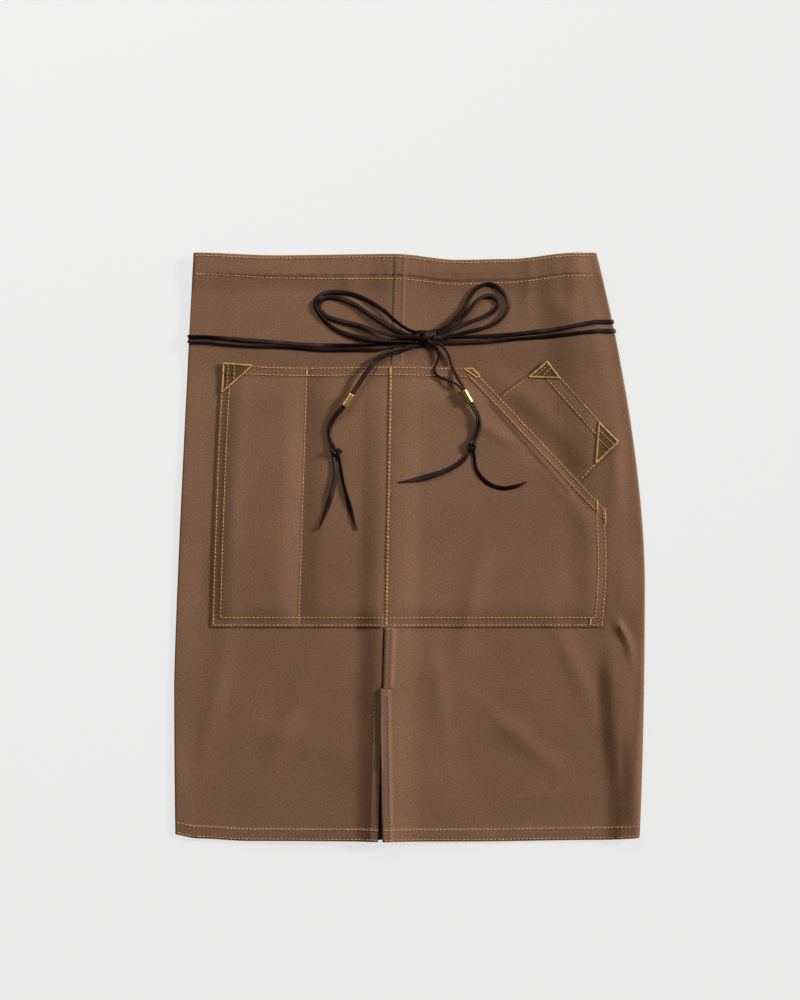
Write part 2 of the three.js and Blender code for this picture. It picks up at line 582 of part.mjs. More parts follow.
function addTie(prefix, side, parts) {
  add(`${prefix}_tie_bridge`, lace(laceBridge(side), LACE_WIDTH, 40), leather);
  ['a', 'b'].forEach((strand, i) => {
    const wrapY = parts.wrap[i];
    const under = underRun(side, parts.under, i, wrapY);
    add(`${prefix}_tie_under_${strand}`, lace(under, LACE_WIDTH, 18), leather);
    add(`${prefix}_tie_bend_${strand}`, lace(bend(side, wrapY), LACE_WIDTH, 18), leather);
    const run = lace(frontRun(side, wrapY, parts.runs[i]), LACE_WIDTH, 14);
    add(`${prefix}_tie_front_${strand}`, cutByKnot(run, BOW_KNOT), leather);
    const loop = lace(parts.loops[i].map(atLevel), LACE_WIDTH, 30);
    add(`${prefix}_bow_loop_${strand}`, cutByKnot(loop, BOW_KNOT), leather);
    const tail = lace(parts.tails[i], TAIL_WIDTH, 28);
    add(`${prefix}_tail_${strand}`, cutByKnot(tail, BOW_KNOT, parts.endKnot), leather);
    const tip = lace(parts.tips[i].map(withZ(pocketLaceZ)), LACE_WIDTH, 9);
    add(`${prefix}_tip_${strand}`, cutByKnot(tip, parts.endKnot), leather);
  });
  const [x, y] = parts.endKnot.centre;
  add(`${prefix}_end_knot`, knot(parts.endKnot), leather)
    .position.set(x, y, pocketSkin + GAP);
}

function addBead(name, { at, towards }) {
  const bore = BEAD_RADIUS - BEAD_WALL;
  const half = BEAD_LENGTH / 2;
  const tube = turned([[bore, -half], [BEAD_RADIUS, -half], [BEAD_RADIUS, half], [bore, half]]);
  tube.rotateX(-Math.PI / 2);
  const bead = add(name, tube, brass);
  bead.position.set(at[0], at[1], beadZ);
  bead.rotation.z = Math.atan2(towards[1], towards[0]) - Math.PI / 2;
}

for (const [prefix, side] of [['left', LEFT_SIDE], ['right', RIGHT_SIDE]]) {
  add(`${prefix}_front_panel`, frontPanel(side), twill);
  add(`${prefix}_leg_flap`, legFlap(side), twill);
  add(`${prefix}_side_fold`, sideFold(side), twill);
  add(`${prefix}_wing`, wingPanel(side), twill);
  addEyelets(prefix, side);
}

const [smallUpper, smallLower] = smallPocketCorners();
const mainCorner = new THREE.Vector2(DIVIDER_X - MIDDLE_WIDTH - KNIFE_WIDTH + 1, pocketTopY - 1);
add('main_pocket', mainPocket(), twill);
add('small_pocket', smallPocket(), twill);
add('main_pocket_patch', patch(mainCorner, -0.05, 30, -1.6, 29), patchCloth);
add('small_pocket_upper_patch',
  patch(smallUpper, SMALL_TILT, 21.5, SMALL_UPPER_LEAN, 24.5), patchCloth);
add('small_pocket_lower_patch',
  patch(smallLower, SMALL_TILT + Math.PI, 22, SMALL_LOWER_LEAN, 24.5), patchCloth);

const leftTails = [1, -1].map((s) => beside(LEFT_TAIL, s * tailSpacing));
addTie('left', LEFT_SIDE, {
  under: LEFT_UNDER, wrap: LEFT_WRAP, endKnot: LEFT_END_KNOT, tips: LEFT_TIPS, tails: leftTails,
  runs: [1, -1].map((s) => beside(LEFT_RUN, s * pairSpacing(LACE_WIDTH))),
  loops: [LEFT_OUTER_LOOP, LEFT_INNER_LOOP],
});
addTie('right', RIGHT_SIDE, {
  under: RIGHT_UNDER, wrap: RIGHT_WRAP, endKnot: RIGHT_END_KNOT, tips: RIGHT_TIPS,
  runs: [RIGHT_RUN_A, RIGHT_RUN_B], tails: [RIGHT_TAIL_A, RIGHT_TAIL_B],
  loops: [RIGHT_OUTER_LOOP, RIGHT_INNER_LOOP],
});
add('bow_knot', knot(BOW_KNOT), leather)
  .position.set(BOW_KNOT.centre[0], BOW_KNOT.centre[1], frontLaceZ - LACE_THICKNESS / 2);
addBead('left_bead', LEFT_BEAD);
addBead('right_bead', RIGHT_BEAD);

export default apron;
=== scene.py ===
"""A split waist apron of brown cotton twill, laid flat, with its doubled leather ties in a bow.

Shapes are worked out in millimetres and put into the meshes in metres. +Y is towards the waist, +X
to the right as one looks at the front, and +Z up out of the front face.
"""
import math
from functools import partial

import bpy
import numpy as np
from bpy.props import FloatProperty, FloatVectorProperty, IntProperty, PointerProperty
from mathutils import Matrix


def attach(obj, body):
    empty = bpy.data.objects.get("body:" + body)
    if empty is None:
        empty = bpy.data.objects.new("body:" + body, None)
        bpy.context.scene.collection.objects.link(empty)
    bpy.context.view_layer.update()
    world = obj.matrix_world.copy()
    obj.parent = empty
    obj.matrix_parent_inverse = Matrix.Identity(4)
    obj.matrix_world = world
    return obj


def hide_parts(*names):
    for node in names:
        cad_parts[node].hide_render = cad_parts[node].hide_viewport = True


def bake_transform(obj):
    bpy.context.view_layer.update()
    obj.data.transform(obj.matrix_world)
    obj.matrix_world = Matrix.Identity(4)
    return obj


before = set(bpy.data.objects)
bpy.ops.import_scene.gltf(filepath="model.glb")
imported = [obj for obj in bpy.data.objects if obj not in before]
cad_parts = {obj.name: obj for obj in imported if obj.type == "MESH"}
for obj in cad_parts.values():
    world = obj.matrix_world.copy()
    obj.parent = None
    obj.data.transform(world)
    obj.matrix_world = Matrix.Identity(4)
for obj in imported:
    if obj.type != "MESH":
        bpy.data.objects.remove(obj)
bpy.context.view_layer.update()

bl_info = {
    "name": "Split Waist Apron",
    "version": (1, 0, 0),
    "blender": (4, 5, 0),
    "location": "View3D > Sidebar > Apron",
    "description": "Makes the cloth, pockets, stitching and leather ties of a split waist apron",
    "category": "Add Mesh",
}

MM = 0.001

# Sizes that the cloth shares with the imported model, in millimetres
WAIST_Y, HEM_Y = 295.0, -295.0
LENGTH, WIDTH = 590.0, 471.0
CLOTH, LAYER_GAP = 0.7, 0.4
FRONT_SKIN = 2 * CLOTH + LAYER_GAP
FOLD_DEPTH = 24.0
SIDES = {
    "left": {"sign": -1.0, "waist": 19.7, "bow": 1.2, "hip": 0.73, "hem": 1.3},
    "right": {"sign": 1.0, "waist": 49.0, "bow": 1.7, "hip": 0.56, "hem": 5.5},
}
SEAM_AT_WAIST, SEAM_AT_SLIT, SLIT_TOP = -15.5, -27.5, -141.0
SLIT_LENGTH, SLIT_MOUTH = 154.0, 3.8
WING_MEET = 2.0  # the wings nearly meet behind the middle
LACE_LIFT, BAND_LIFT = 2.6, 2.5
POCKET_TOP, POCKET_HEIGHT = 182.0, 261.0
EYELET_Y, EYELET_XS = 278.0, (16.0, 32.0)
SMALL_UPPER, SMALL_TILT, SMALL_MOUTH = (137.5, 186.0), -0.847, 108.0
SMALL_DEPTH, SMALL_UPPER_LEAN, SMALL_LOWER_LEAN = 72.0, -2.509, -2.329


# Sizes and colours that a user would change

def tint(name, description, default):
    return FloatVectorProperty(name=name, description=description, subtype="COLOR", size=3,
                               min=0.0, max=1.0, default=default)


def measure(name, description, default, least, most):
    return FloatProperty(name=name, description=description, default=default, min=least,
                         max=most, unit="LENGTH")


class TwillSettings(bpy.types.PropertyGroup):
    """Cloth of the apron"""
    colour: tint("Twill", "Colour of the brown cotton", (0.196, 0.103, 0.0585))
    patch_colour: tint("Patches", "Colour of the corner patches", (0.105, 0.062, 0.026))
    rib_pitch: measure("Rib pitch", "From one diagonal rib of the weave to the next",
                       0.0010, 0.0003, 0.004)
    puff: measure("Pocket fullness", "How far the middle of a pocket stands off the front",
                  0.0030, 0.0005, 0.0044)
    left_roll: measure("Left fold", "How far the left side fold stands up",
                       0.0007, 0.0005, 0.008)
    right_roll: measure("Right fold", "How far the right side fold stands up",
                        0.0052, 0.0005, 0.008)


class StitchSettings(bpy.types.PropertyGroup):
    """Sewing thread"""
    colour: tint("Topstitching", "Colour of the contrast thread", (0.50, 0.245, 0.062))
    tone_colour: tint("Seam thread", "Colour of the thread of the centre seam",
                      (0.085, 0.045, 0.028))
    pitch: measure("Stitch pitch", "From one stitch to the next", 0.0039, 0.001, 0.008)
    thread: measure("Thread radius", "Half the thickness of the thread",
                    0.00046, 0.0001, 0.001)


class TieSettings(bpy.types.PropertyGroup):
    """Leather laces and their metal"""
    colour: tint("Leather", "Colour of the laces", (0.0135, 0.0055, 0.0042))
    brass: tint("Brass", "Colour of the beads and eyelets", (0.78, 0.56, 0.19))
    width: measure("Lace width", "Width of the flat lace", 0.0043, 0.002, 0.008)
    thickness: measure("Lace thickness", "Thickness of the flat lace", 0.0014, 0.0005, 0.004)
    sides: IntProperty(
        name="Sides", description="Facets round a lace", default=12, min=6, max=24)


def cloth():
    return bpy.context.scene.apron_cloth


def thread():
    return bpy.context.scene.apron_thread


def ties():
    return bpy.context.scene.apron_ties


# Heights and edges of the cloth. All of these take whole arrays of millimetres

def ease(value):
    """0 below 0, 1 above 1, and 3 v squared less 2 v cubed between."""
    v = np.clip(value, 0.0, 1.0)
    return v * v * (3 - 2 * v)


def ridge(x, y, at, angle, length, width, height):
    """A soft wrinkle: a height times a Gaussian of the distances along it and across it."""
    c, s = math.cos(angle), math.sin(angle)
    along = (x - at[0]) * c + (y - at[1]) * s
    across = (y - at[1]) * c - (x - at[0]) * s
    return height * np.exp(-(along / length) ** 2 - (across / width) ** 2)


def through(value, stations, heights):
    """Eased steps from one (station, height) to the next."""
    value = np.clip(value, stations[0], stations[-1])
    i = np.clip(np.searchsorted(stations, value, side="right") - 1, 0, len(stations) - 2)
    a, b = np.asarray(stations, float)[i], np.asarray(stations, float)[i + 1]
    high = np.asarray(heights, float)
    return high[i] + (high[i + 1] - high[i]) * ease((value - a) / (b - a))


def side_x(side, y):
    """Outline of the folded apron: half the hip width, less an inset that grows as a power of the
    height over the hips, and as a square below them."""
    s = SIDES[side]
    down = np.clip((WAIST_Y - y) / LENGTH, 0.0, 1.0)
    over = s["waist"] * np.clip(1 - down / s["hip"], 0, None) ** s["bow"]
    under = s["hem"] * np.clip((down - s["hip"]) / (1 - s["hip"]), 0, None) ** 2
    return s["sign"] * (WIDTH / 2 - over - under)


def fold_start(side, y):
    return side_x(side, y) - SIDES[side]["sign"] * FOLD_DEPTH


def seam_x(y):
    """Centre seam: a straight lean from the waist to the slit, then straight down."""
    t = np.clip((y - SLIT_TOP) / (WAIST_Y - SLIT_TOP), 0, 1)
    return SEAM_AT_SLIT + (SEAM_AT_WAIST - SEAM_AT_SLIT) * t


def slit_x(side, y):
    """Edge of half the front at the middle, along the seam's line. Down the slit the left one leans
    away evenly. The right one draws back a little above the slit and laps over the left one below
    its top, and the lap runs out at the hem."""
    down = np.clip((SLIT_TOP - y) / SLIT_LENGTH, 0, 1)
    if side == "left":
        return seam_x(y) - 0.15 - SLIT_MOUTH * down
    lap = np.where(y > SLIT_TOP, -0.9 * ease((60 - y) / 120), 2.2 - 2.6 * down)
    return seam_x(y) - lap


def hem_y(x):
    """Lower edge of the front, through a few heights: it rises at the two corners."""
    return through(x, (-236, -212, -160, 60, 190, 232), (-287.5, -291.5, -294, -294.6, -293, -291))


def top_y(x):
    """Waist edge of the front, through a few heights: it dips right of the middle."""
    return through(x, (-216, -133, -15, 48, 96, 168, 190),
                   (294.2, 291.3, 292.6, 286.8, 287.6, 293.8, 294.0))


def lace_rise(y):
    return LACE_LIFT * ease((y - 168) / 40)


def band_rise(y):
    return BAND_LIFT * ease((y - 252) / 26)


TENT_STEEP, TENT_SHALLOW = 5.2, 3.2  # heights of the two parts of the tent along the seam


def centre_ridge(x, y):
    """The cloth stands in a low tent along the seam: two eased slopes that meet at it, each a steep
    part and a long shallow one, lower towards the waist."""
    d = x - seam_x(y)
    lower = 0.3 + 0.7 * ease((210 - y) / 190)
    steep = np.where(d < 0, 1 - ease(-d / 27 - 0.04), 1 - ease(d / 38))
    shallow = np.where(d < 0, 1 - ease(-d / 190), 1 - ease(d / 120))
    return (TENT_STEEP * steep + TENT_SHALLOW * shallow * np.where(d < 0, 1.0, 0.8)) * lower


SIDE_CREST, SIDE_CLIMB, CLIMB_X = 3.4, 4.1, 191.0


def side_climb(x, y):
    """The right side: a broad crest beside the fold above, and a wavy climb to the fold below."""
    inwards = side_x("right", y) - x
    crest = SIDE_CREST * ease((78 - inwards) / 40) * ease((y + 95) / 70)
    along = ease((-70 - y) / 70)
    start = CLIMB_X + 5 * np.sin(y / 60)
    return crest + along * (SIDE_CLIMB + 0.9 * np.sin(y / 33)) * ease((x - start) / 17)


WRINKLES = (
    # at, angle, length, width, height
    ((119, 262), 1.5, 26, 6, 1.2), ((164, 258), 1.62, 30, 7, 1.4), ((-60, 262), 1.6, 22, 7, 0.8),
    ((78, 118), -0.5, 40, 7, 1.0), ((150, 60), -0.9, 38, 8, 1.2), ((96, 20), 0.6, 42, 9, 1.0),
    ((60, -60), 1.35, 50, 10, 1.2), ((-120, -170), 1.2, 60, 11, 1.1),
    ((110, -190), -0.7, 55, 9, 1.3), ((30, -150), 1.7, 50, 8, 1.0),
    ((213, -84), -1.05, 15, 3.4, 2.6), ((222, -106), -1.3, 19, 4.2, 2.3),
    ((229, -150), 1.45, 22, 5.0, -1.3), ((165, -120), -1.15, 55, 9, 1.3),
    ((120, -185), 0.12, 95, 16, 1.2), ((60, -225), 0.35, 70, 13, 0.9),
    ((-120, -190), -0.25, 90, 20, 1.0), ((-195, -150), 1.35, 80, 11, 1.2),
    ((-180, 20), 1.5, 120, 10, 0.9), ((-70, -120), 0.8, 42, 10, 0.9),
    ((90, 262), 0.05, 60, 9, 0.9), ((-80, 268), -0.06, 60, 8, 0.7),
    ((150, 240), -0.9, 36, 12, 1.0), ((-150, 235), 0.4, 60, 14, 0.9),
    ((110, 150), -0.7, 60, 12, 1.0), ((205, 60), 1.5, 70, 9, 1.3),
    ((28, -120), 0.45, 45, 10, 0.9), ((140, -250), 0.1, 60, 12, 0.9),
)


def relief(x, y):
    """How far the front stands off the layers below it: the tent, the side crest, the wrinkles and
    a shallow quilt of slow waves."""
    high = centre_ridge(x, y) + side_climb(x, y)
    for wrinkle in WRINKLES:
        high = high + ridge(x, y, *wrinkle)
    slow = 0.35 * (1 + np.sin(x / 37 + 1.3 * np.sin(y / 61)) * np.cos(y / 49 + 0.8))
    return high + slow


def band(x, y):
    """Turned cloth at the waist and at the hem: a second thickness with a soft step at its row."""
    waist = ease((y - (top_y(x) - 21.5)) / 1.6)
    hem = ease((hem_y(x) + 13.5 - y) / 1.6)
    edge = 0.35 * (ease((top_y(x) - y) / 2.0) * ease((y - hem_y(x)) / 2.0) - 1)
    pucker = 0.14 * np.sin(x / 1.9) * np.exp(-((y - top_y(x) + 19) / 4) ** 2)
    return 0.75 * (waist + hem) + edge + pucker


def front_z(x, y):
    """Top of the front cloth: skin, rises over the laces, relief and turned edges."""
    return FRONT_SKIN + lace_rise(y) + band_rise(y) + relief(x, y) + band(x, y)


# Pockets: edges and heights

MAIN_TOP_RIGHT, MAIN_CORNER, MAIN_BOTTOM = (63.0, 179.6), (195.4, 38.6), -80.0
PLY = 1.0  # one layer of cloth and its air
KNIFE_X, KNIFE_LEAN = -102.6, 8.2
DIVIDER_X, DIVIDER_LEAN = -19.0, 4.8


def pocket_left(y):
    """Left edge of the main pocket, which curves outwards below its mouth."""
    down = np.clip((POCKET_TOP - y) / 262.0, 0, 1)
    return -186.5 - 12.0 * down ** 0.6


def pocket_right(y):
    """Right edge: the slanted mouth's straight line, then a side that bows out a little."""
    (x0, y0), (x1, y1) = MAIN_TOP_RIGHT, MAIN_CORNER
    slant = x0 + (x1 - x0) * (y0 - y) / (y0 - y1)
    down = np.clip((y1 - y) / (y1 - MAIN_BOTTOM), 0, 1)
    return np.where(y > y1, slant, x1 + 3.0 * np.sin(math.pi * down) - 1.4 * down)


def pocket_top(x):
    """Mouth of the main pocket, which sags a little between its corners."""
    return through(x, (-188, -103, -20, 63), (182.6, 180.4, 181.4, 179.6))


def knife_line(y):
    return KNIFE_X - KNIFE_LEAN * (POCKET_TOP - y) / POCKET_HEIGHT


def divider_line(y):
    return DIVIDER_X - DIVIDER_LEAN * (POCKET_TOP - y) / POCKET_HEIGHT


def beside(x, y, a, b):
    """Distance to the right of the line from a to b."""
    (ax, ay), (bx, by) = a, b
    return ((x - ax) * (by - ay) - (y - ay) * (bx - ax)) / math.hypot(bx - ax, by - ay)


def slant_distance(x, y):
    """Distance inside the line of the slanted mouth."""
    return beside(x, y, MAIN_TOP_RIGHT, MAIN_CORNER)


def small_corners():
    """Mouth's upper and lower corners and the two hidden ones, each a length along an angle."""
    step = lambda p, angle, length: (p[0] + math.cos(angle) * length,
                                     p[1] + math.sin(angle) * length)
    lower = step(SMALL_UPPER, SMALL_TILT, SMALL_MOUTH)
    return (SMALL_UPPER, lower, step(lower, SMALL_LOWER_LEAN, SMALL_DEPTH),
            step(SMALL_UPPER, SMALL_UPPER_LEAN, SMALL_DEPTH))


def inside(x, y, corners):
    """Least distance inside the sides of a convex outline given clockwise; below 0 outside it."""
    sides = zip(corners, corners[1:] + corners[:1])
    return np.minimum.reduce([beside(x, y, a, b) for a, b in sides])


def right_distance(x, y):
    """Distance inside the lower right side, which goes straight on above its corner."""
    return pocket_right(np.minimum(y, MAIN_CORNER[1])) - x


def main_inside(x, y):
    """Least distance inside the main pocket's edges."""
    return np.minimum.reduce([
        pocket_top(x) - y, x - pocket_left(y), y - MAIN_BOTTOM,
        slant_distance(x, y), right_distance(x, y)])


def crown(distance, width=24.0):
    """A cloth's rise away from a sewn line: the sine of the distance, full at the width."""
    return np.sin(np.clip(np.abs(distance) / width, 0, 1) * math.pi / 2) ** 1.3


def main_z(x, y):
    """Top of the main pocket: a ply over the front and over the small pocket's hidden end, puffed
    between its sewn lines by a product of sine crowns, with a turned and stitched mouth. Right of
    the middle row it stays half full, so that the row runs along the top of a small step."""
    full = cloth().puff / MM
    side = np.where(y < MAIN_CORNER[1] + 14, right_distance(x, y), 60)
    past = ease((x - divider_line(y)) / 1.4 + 1)
    middle = crown(x - divider_line(y)) * (1 - 0.5 * past) + 0.5 * past
    puffed = (crown(x - pocket_left(y)) * crown(x - knife_line(y)) * middle
              * crown(y - MAIN_BOTTOM) * crown(np.maximum(side, (y - MAIN_CORNER[1]) * 1.2)))
    mouth = 0.35 + 0.65 * ease((pocket_top(x) - y) / 36) * ease((slant_distance(x, y) + 4) / 36)
    hidden = PLY * ease(inside(x, y, small_corners()) / 4 + 0.5)
    rim = np.minimum(pocket_top(x) - y, slant_distance(x, y))
    turned = 0.5 * (1 - ease((rim - 9.0) / 1.6))
    held = -0.25 * np.exp(-(np.minimum(np.abs(x - knife_line(y)), np.abs(x - divider_line(y)))
                            / 1.6) ** 2)
    return front_z(x, y) + PLY + hidden + full * puffed * mouth + turned + held


def small_z(x, y):
    """Top of the small pocket: a ply over the front, puffed by crowns from its sewn sides and
    bottom, with a turned mouth."""
    upper, lower, lower_deep, upper_deep = small_corners()
    sides = (crown(beside(x, y, lower, lower_deep), 16)
             * crown(beside(x, y, upper_deep, upper), 16))
    deep = ease((beside(x, y, lower_deep, upper_deep) - 14) / 24)
    mouth = beside(x, y, upper, lower)
    turned = 0.45 * (1 - ease((mouth - 11.5) / 1.6))
    return front_z(x, y) + PLY + 0.55 * (cloth().puff / MM) * sides * deep * (
        0.45 + 0.55 * ease(mouth / 20)) + turned


def surface_z(x, y):
    """Top of whatever layer of the apron is uppermost at a point."""
    z = front_z(x, y)
    z = np.where(inside(x, y, small_corners()) > 0, small_z(x, y), z)
    return np.where(main_inside(x, y) > 0, main_z(x, y), z)


# Meshes

def link(name, mesh):
    obj = bpy.data.objects.new(name, mesh)
    bpy.context.scene.collection.objects.link(obj)
    return obj


def mesh_from(name, points, faces, uv=None, wear=None, sharp=50.0):
    """Mesh of points in millimetres, with an optional map in metres and an optional wear value at
    each point. Edges that turn by more than the sharp angle stay crisp."""
    mesh = bpy.data.meshes.new(name)
    mesh.from_pydata((np.asarray(points, float).reshape(-1, 3) * MM).tolist(), [], faces)
    mesh.polygons.foreach_set("use_smooth", np.ones(len(mesh.polygons), bool))
    if uv is not None:
        corners = np.empty(len(mesh.loops), int)
        mesh.loops.foreach_get("vertex_index", corners)
        layer = mesh.uv_layers.new(name="cloth")
        layer.uv.foreach_set("vector", (np.asarray(uv, float).reshape(-1, 2) * MM)[corners].ravel())
    if wear is not None:
        attribute = mesh.attributes.new("wear", "FLOAT", "POINT")
        attribute.data.foreach_set("value", np.asarray(wear, np.float32).ravel())
    if sharp:
        mesh.set_sharp_from_angle(angle=math.radians(sharp))
    mesh.update()
    return link(name, mesh)


def ring_quads(rings, sides):
    """Numbers of the points of some rings, and the quads between each ring and the next."""
    at = np.arange(rings * sides).reshape(rings, sides)
    turn = np.roll(at, -1, axis=1)
    return at, np.stack([at[:-1], turn[:-1], turn[1:], at[1:]], -1).reshape(-1, 4)


def signed_volume(points, quads):
    """Six times the volume inside a closed quad mesh, from the corners of its two triangles."""
    p = points[quads]
    first = np.einsum("ij,ij->i", p[:, 0], np.cross(p[:, 1], p[:, 2]))
    second = np.einsum("ij,ij->i", p[:, 0], np.cross(p[:, 2], p[:, 3]))
    return float((first + second).sum())


def grid_normals(grid):
    """Unit cross products of the two gradients of a grid of points."""
    normal = np.cross(np.gradient(grid, axis=0), np.gradient(grid, axis=1))
    return normal / np.maximum(np.linalg.norm(normal, axis=2, keepdims=True), 1e-9)


def cloth_shell(name, grid, uv, thickness=CLOTH, wear=None, up=None):
    """A closed sheet: the grid is its outer face, and its inner face lies a thickness behind along
    the grid's normals. up is a grid place (row, column) whose normal points to +Z."""
    normal = grid_normals(grid)
    if up is not None and normal[up][2] < 0:
        normal = -normal
    back = grid - normal * thickness
    rows, columns = grid.shape[:2]
    count = rows * columns
    at = np.arange(count).reshape(rows, columns)
    face = np.stack([at[:-1, :-1], at[:-1, 1:], at[1:, 1:], at[1:, :-1]], -1).reshape(-1, 4)
    strip = lambda line: np.stack([line[:-1], line[1:], line[1:] + count, line[:-1] + count], -1)
    rim = np.concatenate([at[0], at[1:, -1], at[-1, -2::-1], at[-2::-1, 0]])
    quads = np.concatenate([face, face[:, ::-1] + count, strip(rim)[:, ::-1]])
    points = np.concatenate([grid.reshape(-1, 3), back.reshape(-1, 3)])
    if signed_volume(points, quads) < 0:
        quads = quads[:, ::-1]
    both = np.concatenate([uv.reshape(-1, 2)] * 2)
    worn = None if wear is None else np.concatenate([wear.ravel()] * 2)
    return mesh_from(name, points, quads.tolist(), both, worn)


def blend_by(obj, share):
    """Puts each point of a piece for a moment on one line at its own share along x, bakes the
    piece's transform into its mesh, and then puts the points back."""
    mesh = obj.data
    rest = np.empty(len(mesh.vertices) * 3)
    mesh.vertices.foreach_get("co", rest)
    line = np.zeros((len(mesh.vertices), 3))
    line[:, 0] = share
    mesh.vertices.foreach_set("co", line.ravel())
    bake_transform(obj)
    mesh.vertices.foreach_set("co", rest)
    mesh.update()


def finish_piece(obj, material):
    obj.data.materials.append(material)
    return obj


# Cloth pieces

ROLL_COLUMNS = 13
FRONT_COLUMNS = 196.0  # offsets of the front's columns are given out of this many


def cloth_rows():
    """Shares of the length from hem to waist, closer together at the two turned edges."""
    near = np.array([0.8, 2.0, 5.0, 9.0, 11.5, 12.5, 13.5, 14.5, 16.0])
    slit = SLIT_TOP - HEM_Y + np.array([-2.0, -0.3, 0.3, 2.0])
    pocket = MAIN_BOTTOM - HEM_Y + np.array([-3.2, -2.5, -1.4, -0.3, 0.8])
    top = LENGTH - np.array([0.8, 2.0, 5.0, 9, 14, 18, 19.5, 21, 22.0, 23.0, 24.0, 25.0, 26.0, 28])
    even_rows = np.linspace(0, LENGTH, 150)
    return np.unique(np.concatenate([even_rows, near, slit, pocket, top])) / LENGTH


def seam_ridge(x, y):
    """Felled seam on the right of the centre line: a flat step, narrower towards the hem."""
    d = x - slit_x("right", y)
    width = 7.6 + 3.4 * np.clip((y - SLIT_TOP) / (WAIST_Y - SLIT_TOP), 0, 1)
    step = 0.6 + 1.05 * ease((MAIN_BOTTOM - 0.3 - y) / 2.2)
    return step * ease(d / 0.8 + 0.5) * (1 - ease((d - width) / (0.8 + 2 * step)))


def front_grid(name):
    """Front half: columns run from the seam or slit to where the side fold starts, rows from the
    curved hem to the curved waist edge."""
    sign = SIDES[name]["sign"]
    offsets = np.concatenate([[0, 0.7, 1.4, 3, 5], np.arange(7, 14, 1.0),
                              np.arange(14, FRONT_COLUMNS, 3.6), [FRONT_COLUMNS]])
    share = offsets[None, :] / FRONT_COLUMNS
    across = lambda y: slit_x(name, y) + share * (fold_start(name, y) - slit_x(name, y))
    low = hem_y(across(np.array([[HEM_Y]])))
    high = top_y(across(np.array([[WAIST_Y]])))
    y = low + cloth_rows()[:, None] * (high - low)
    x = across(y)
    z = front_z(x, y)
    if sign > 0:
        z = z + seam_ridge(x, y)
    else:
        z = z - 0.9 * ease((SLIT_TOP + 4 - y) / 8) * ease((x - slit_x("left", y) + 9) / 8)
    return np.stack([x, y, z], -1)


def wing_columns(name, y, part, t):
    """x and z of the side fold and wing at a height: a flank that leaves the front smoothly, half
    an ellipse round the edge, and a flat run behind to the wing's end."""
    s = SIDES[name]["sign"]
    edge = side_x(name, y)
    puff = cloth().left_roll / MM if s < 0 else (
        cloth().right_roll / MM * (0.42 + 0.58 * ease((-60 - y) / 70)))
    buckle = 1 + 0.3 * np.sin(y / 41 + 1) * ease((180 - y) / 120) - 0.5 * ease((y - 150) / 60)
    base = FRONT_SKIN + lace_rise(y) + band_rise(y)
    top = base + puff * buckle
    bottom = lace_rise(y) + 0.05
    reach = 0.8 * (top - bottom)
    middle = edge - s * reach
    if part == "flank":
        start = fold_start(name, y)
        x = start + t * (middle - start)
        return x, front_z(x, y) * (1 - ease(t)) + top * ease(t)
    if part == "roll":
        angle = math.pi * (0.5 - t)
        return (middle + s * reach * np.cos(angle),
                (top + bottom) / 2 + (top - bottom) / 2 * np.sin(angle))
    x = middle + t * (s * WING_MEET - middle)
    return x, np.broadcast_to(bottom, x.shape)


def wing_grid(name):
    """Side fold and wing in one sheet, with the share of the fold that each point has turned."""
    rows = cloth_rows()[:, None]
    parts = (("flank", np.linspace(0, 1, 10)[:-1], 0.0),
             ("roll", np.linspace(0, 1, ROLL_COLUMNS), None),
             ("wing", np.linspace(0, 1, 52)[1:], 1.0))
    pieces, shares = [], []
    for part, t, turned in parts:
        share = t[None, :] if turned is None else np.full((1, len(t)), turned)
        at = lambda y: wing_columns(name, y, part, t[None, :])
        low = hem_y(at(np.array([[HEM_Y]]))[0]) + 1.2 * share
        high = top_y(at(np.array([[WAIST_Y]]))[0]) - 0.7 * share
        y = low + rows * (high - low)
        x, z = at(y)
        pieces.append(np.stack([x, y, z], -1))
        shares.append(np.broadcast_to(share, y.shape))
    return np.concatenate(pieces, 1), np.concatenate(shares, 1)


def arc_map(grid):
    """Map of a sheet: the length along its middle row, and its height."""
    middle = grid[len(grid) // 2]
    steps = np.linalg.norm(np.diff(middle, axis=0), axis=1)
    along = np.concatenate([[0], np.cumsum(steps)])
    return np.stack([np.broadcast_to(along, grid.shape[:2]), grid[..., 1]], -1)


def edge_wear(grid, reach=3.0):
    """1 at the waist and hem edges of a sheet, easing to 0 a reach inside."""
    y = grid[..., 1]
    return 1 - ease(np.minimum(y.max(0)[None, :] - y, y - y.min(0)[None, :]) / reach)


class ApronFronts(bpy.types.Operator):
    """Two halves of the front, each with its leg flap"""
    bl_idname = "apron.fronts"
    bl_label = "Front"

    def execute(self, context):
        for name in SIDES:
            grid = front_grid(name)
            obj = cloth_shell(f"{name}_front_cloth", grid, grid[..., :2], wear=edge_wear(grid),
                              up=(40, 20))
            finish_piece(obj, material("twill"))
            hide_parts(f"{name}_front_panel", f"{name}_leg_flap")
            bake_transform(obj)
        return {"FINISHED"}


class ApronWings(bpy.types.Operator):
    """Side folds and the two wings folded behind the front"""
    bl_idname = "apron.wings"
    bl_label = "Wings"

    def execute(self, context):
        for name in SIDES:
            grid, share = wing_grid(name)
            uv = arc_map(grid)
            obj = cloth_shell(f"{name}_wing_cloth", grid, uv, wear=edge_wear(grid), up=(40, 2))
            finish_piece(obj, material("twill"))
            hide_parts(f"{name}_side_fold", f"{name}_wing")
            blend_by(obj, np.concatenate([share.ravel()] * 2))
        return {"FINISHED"}


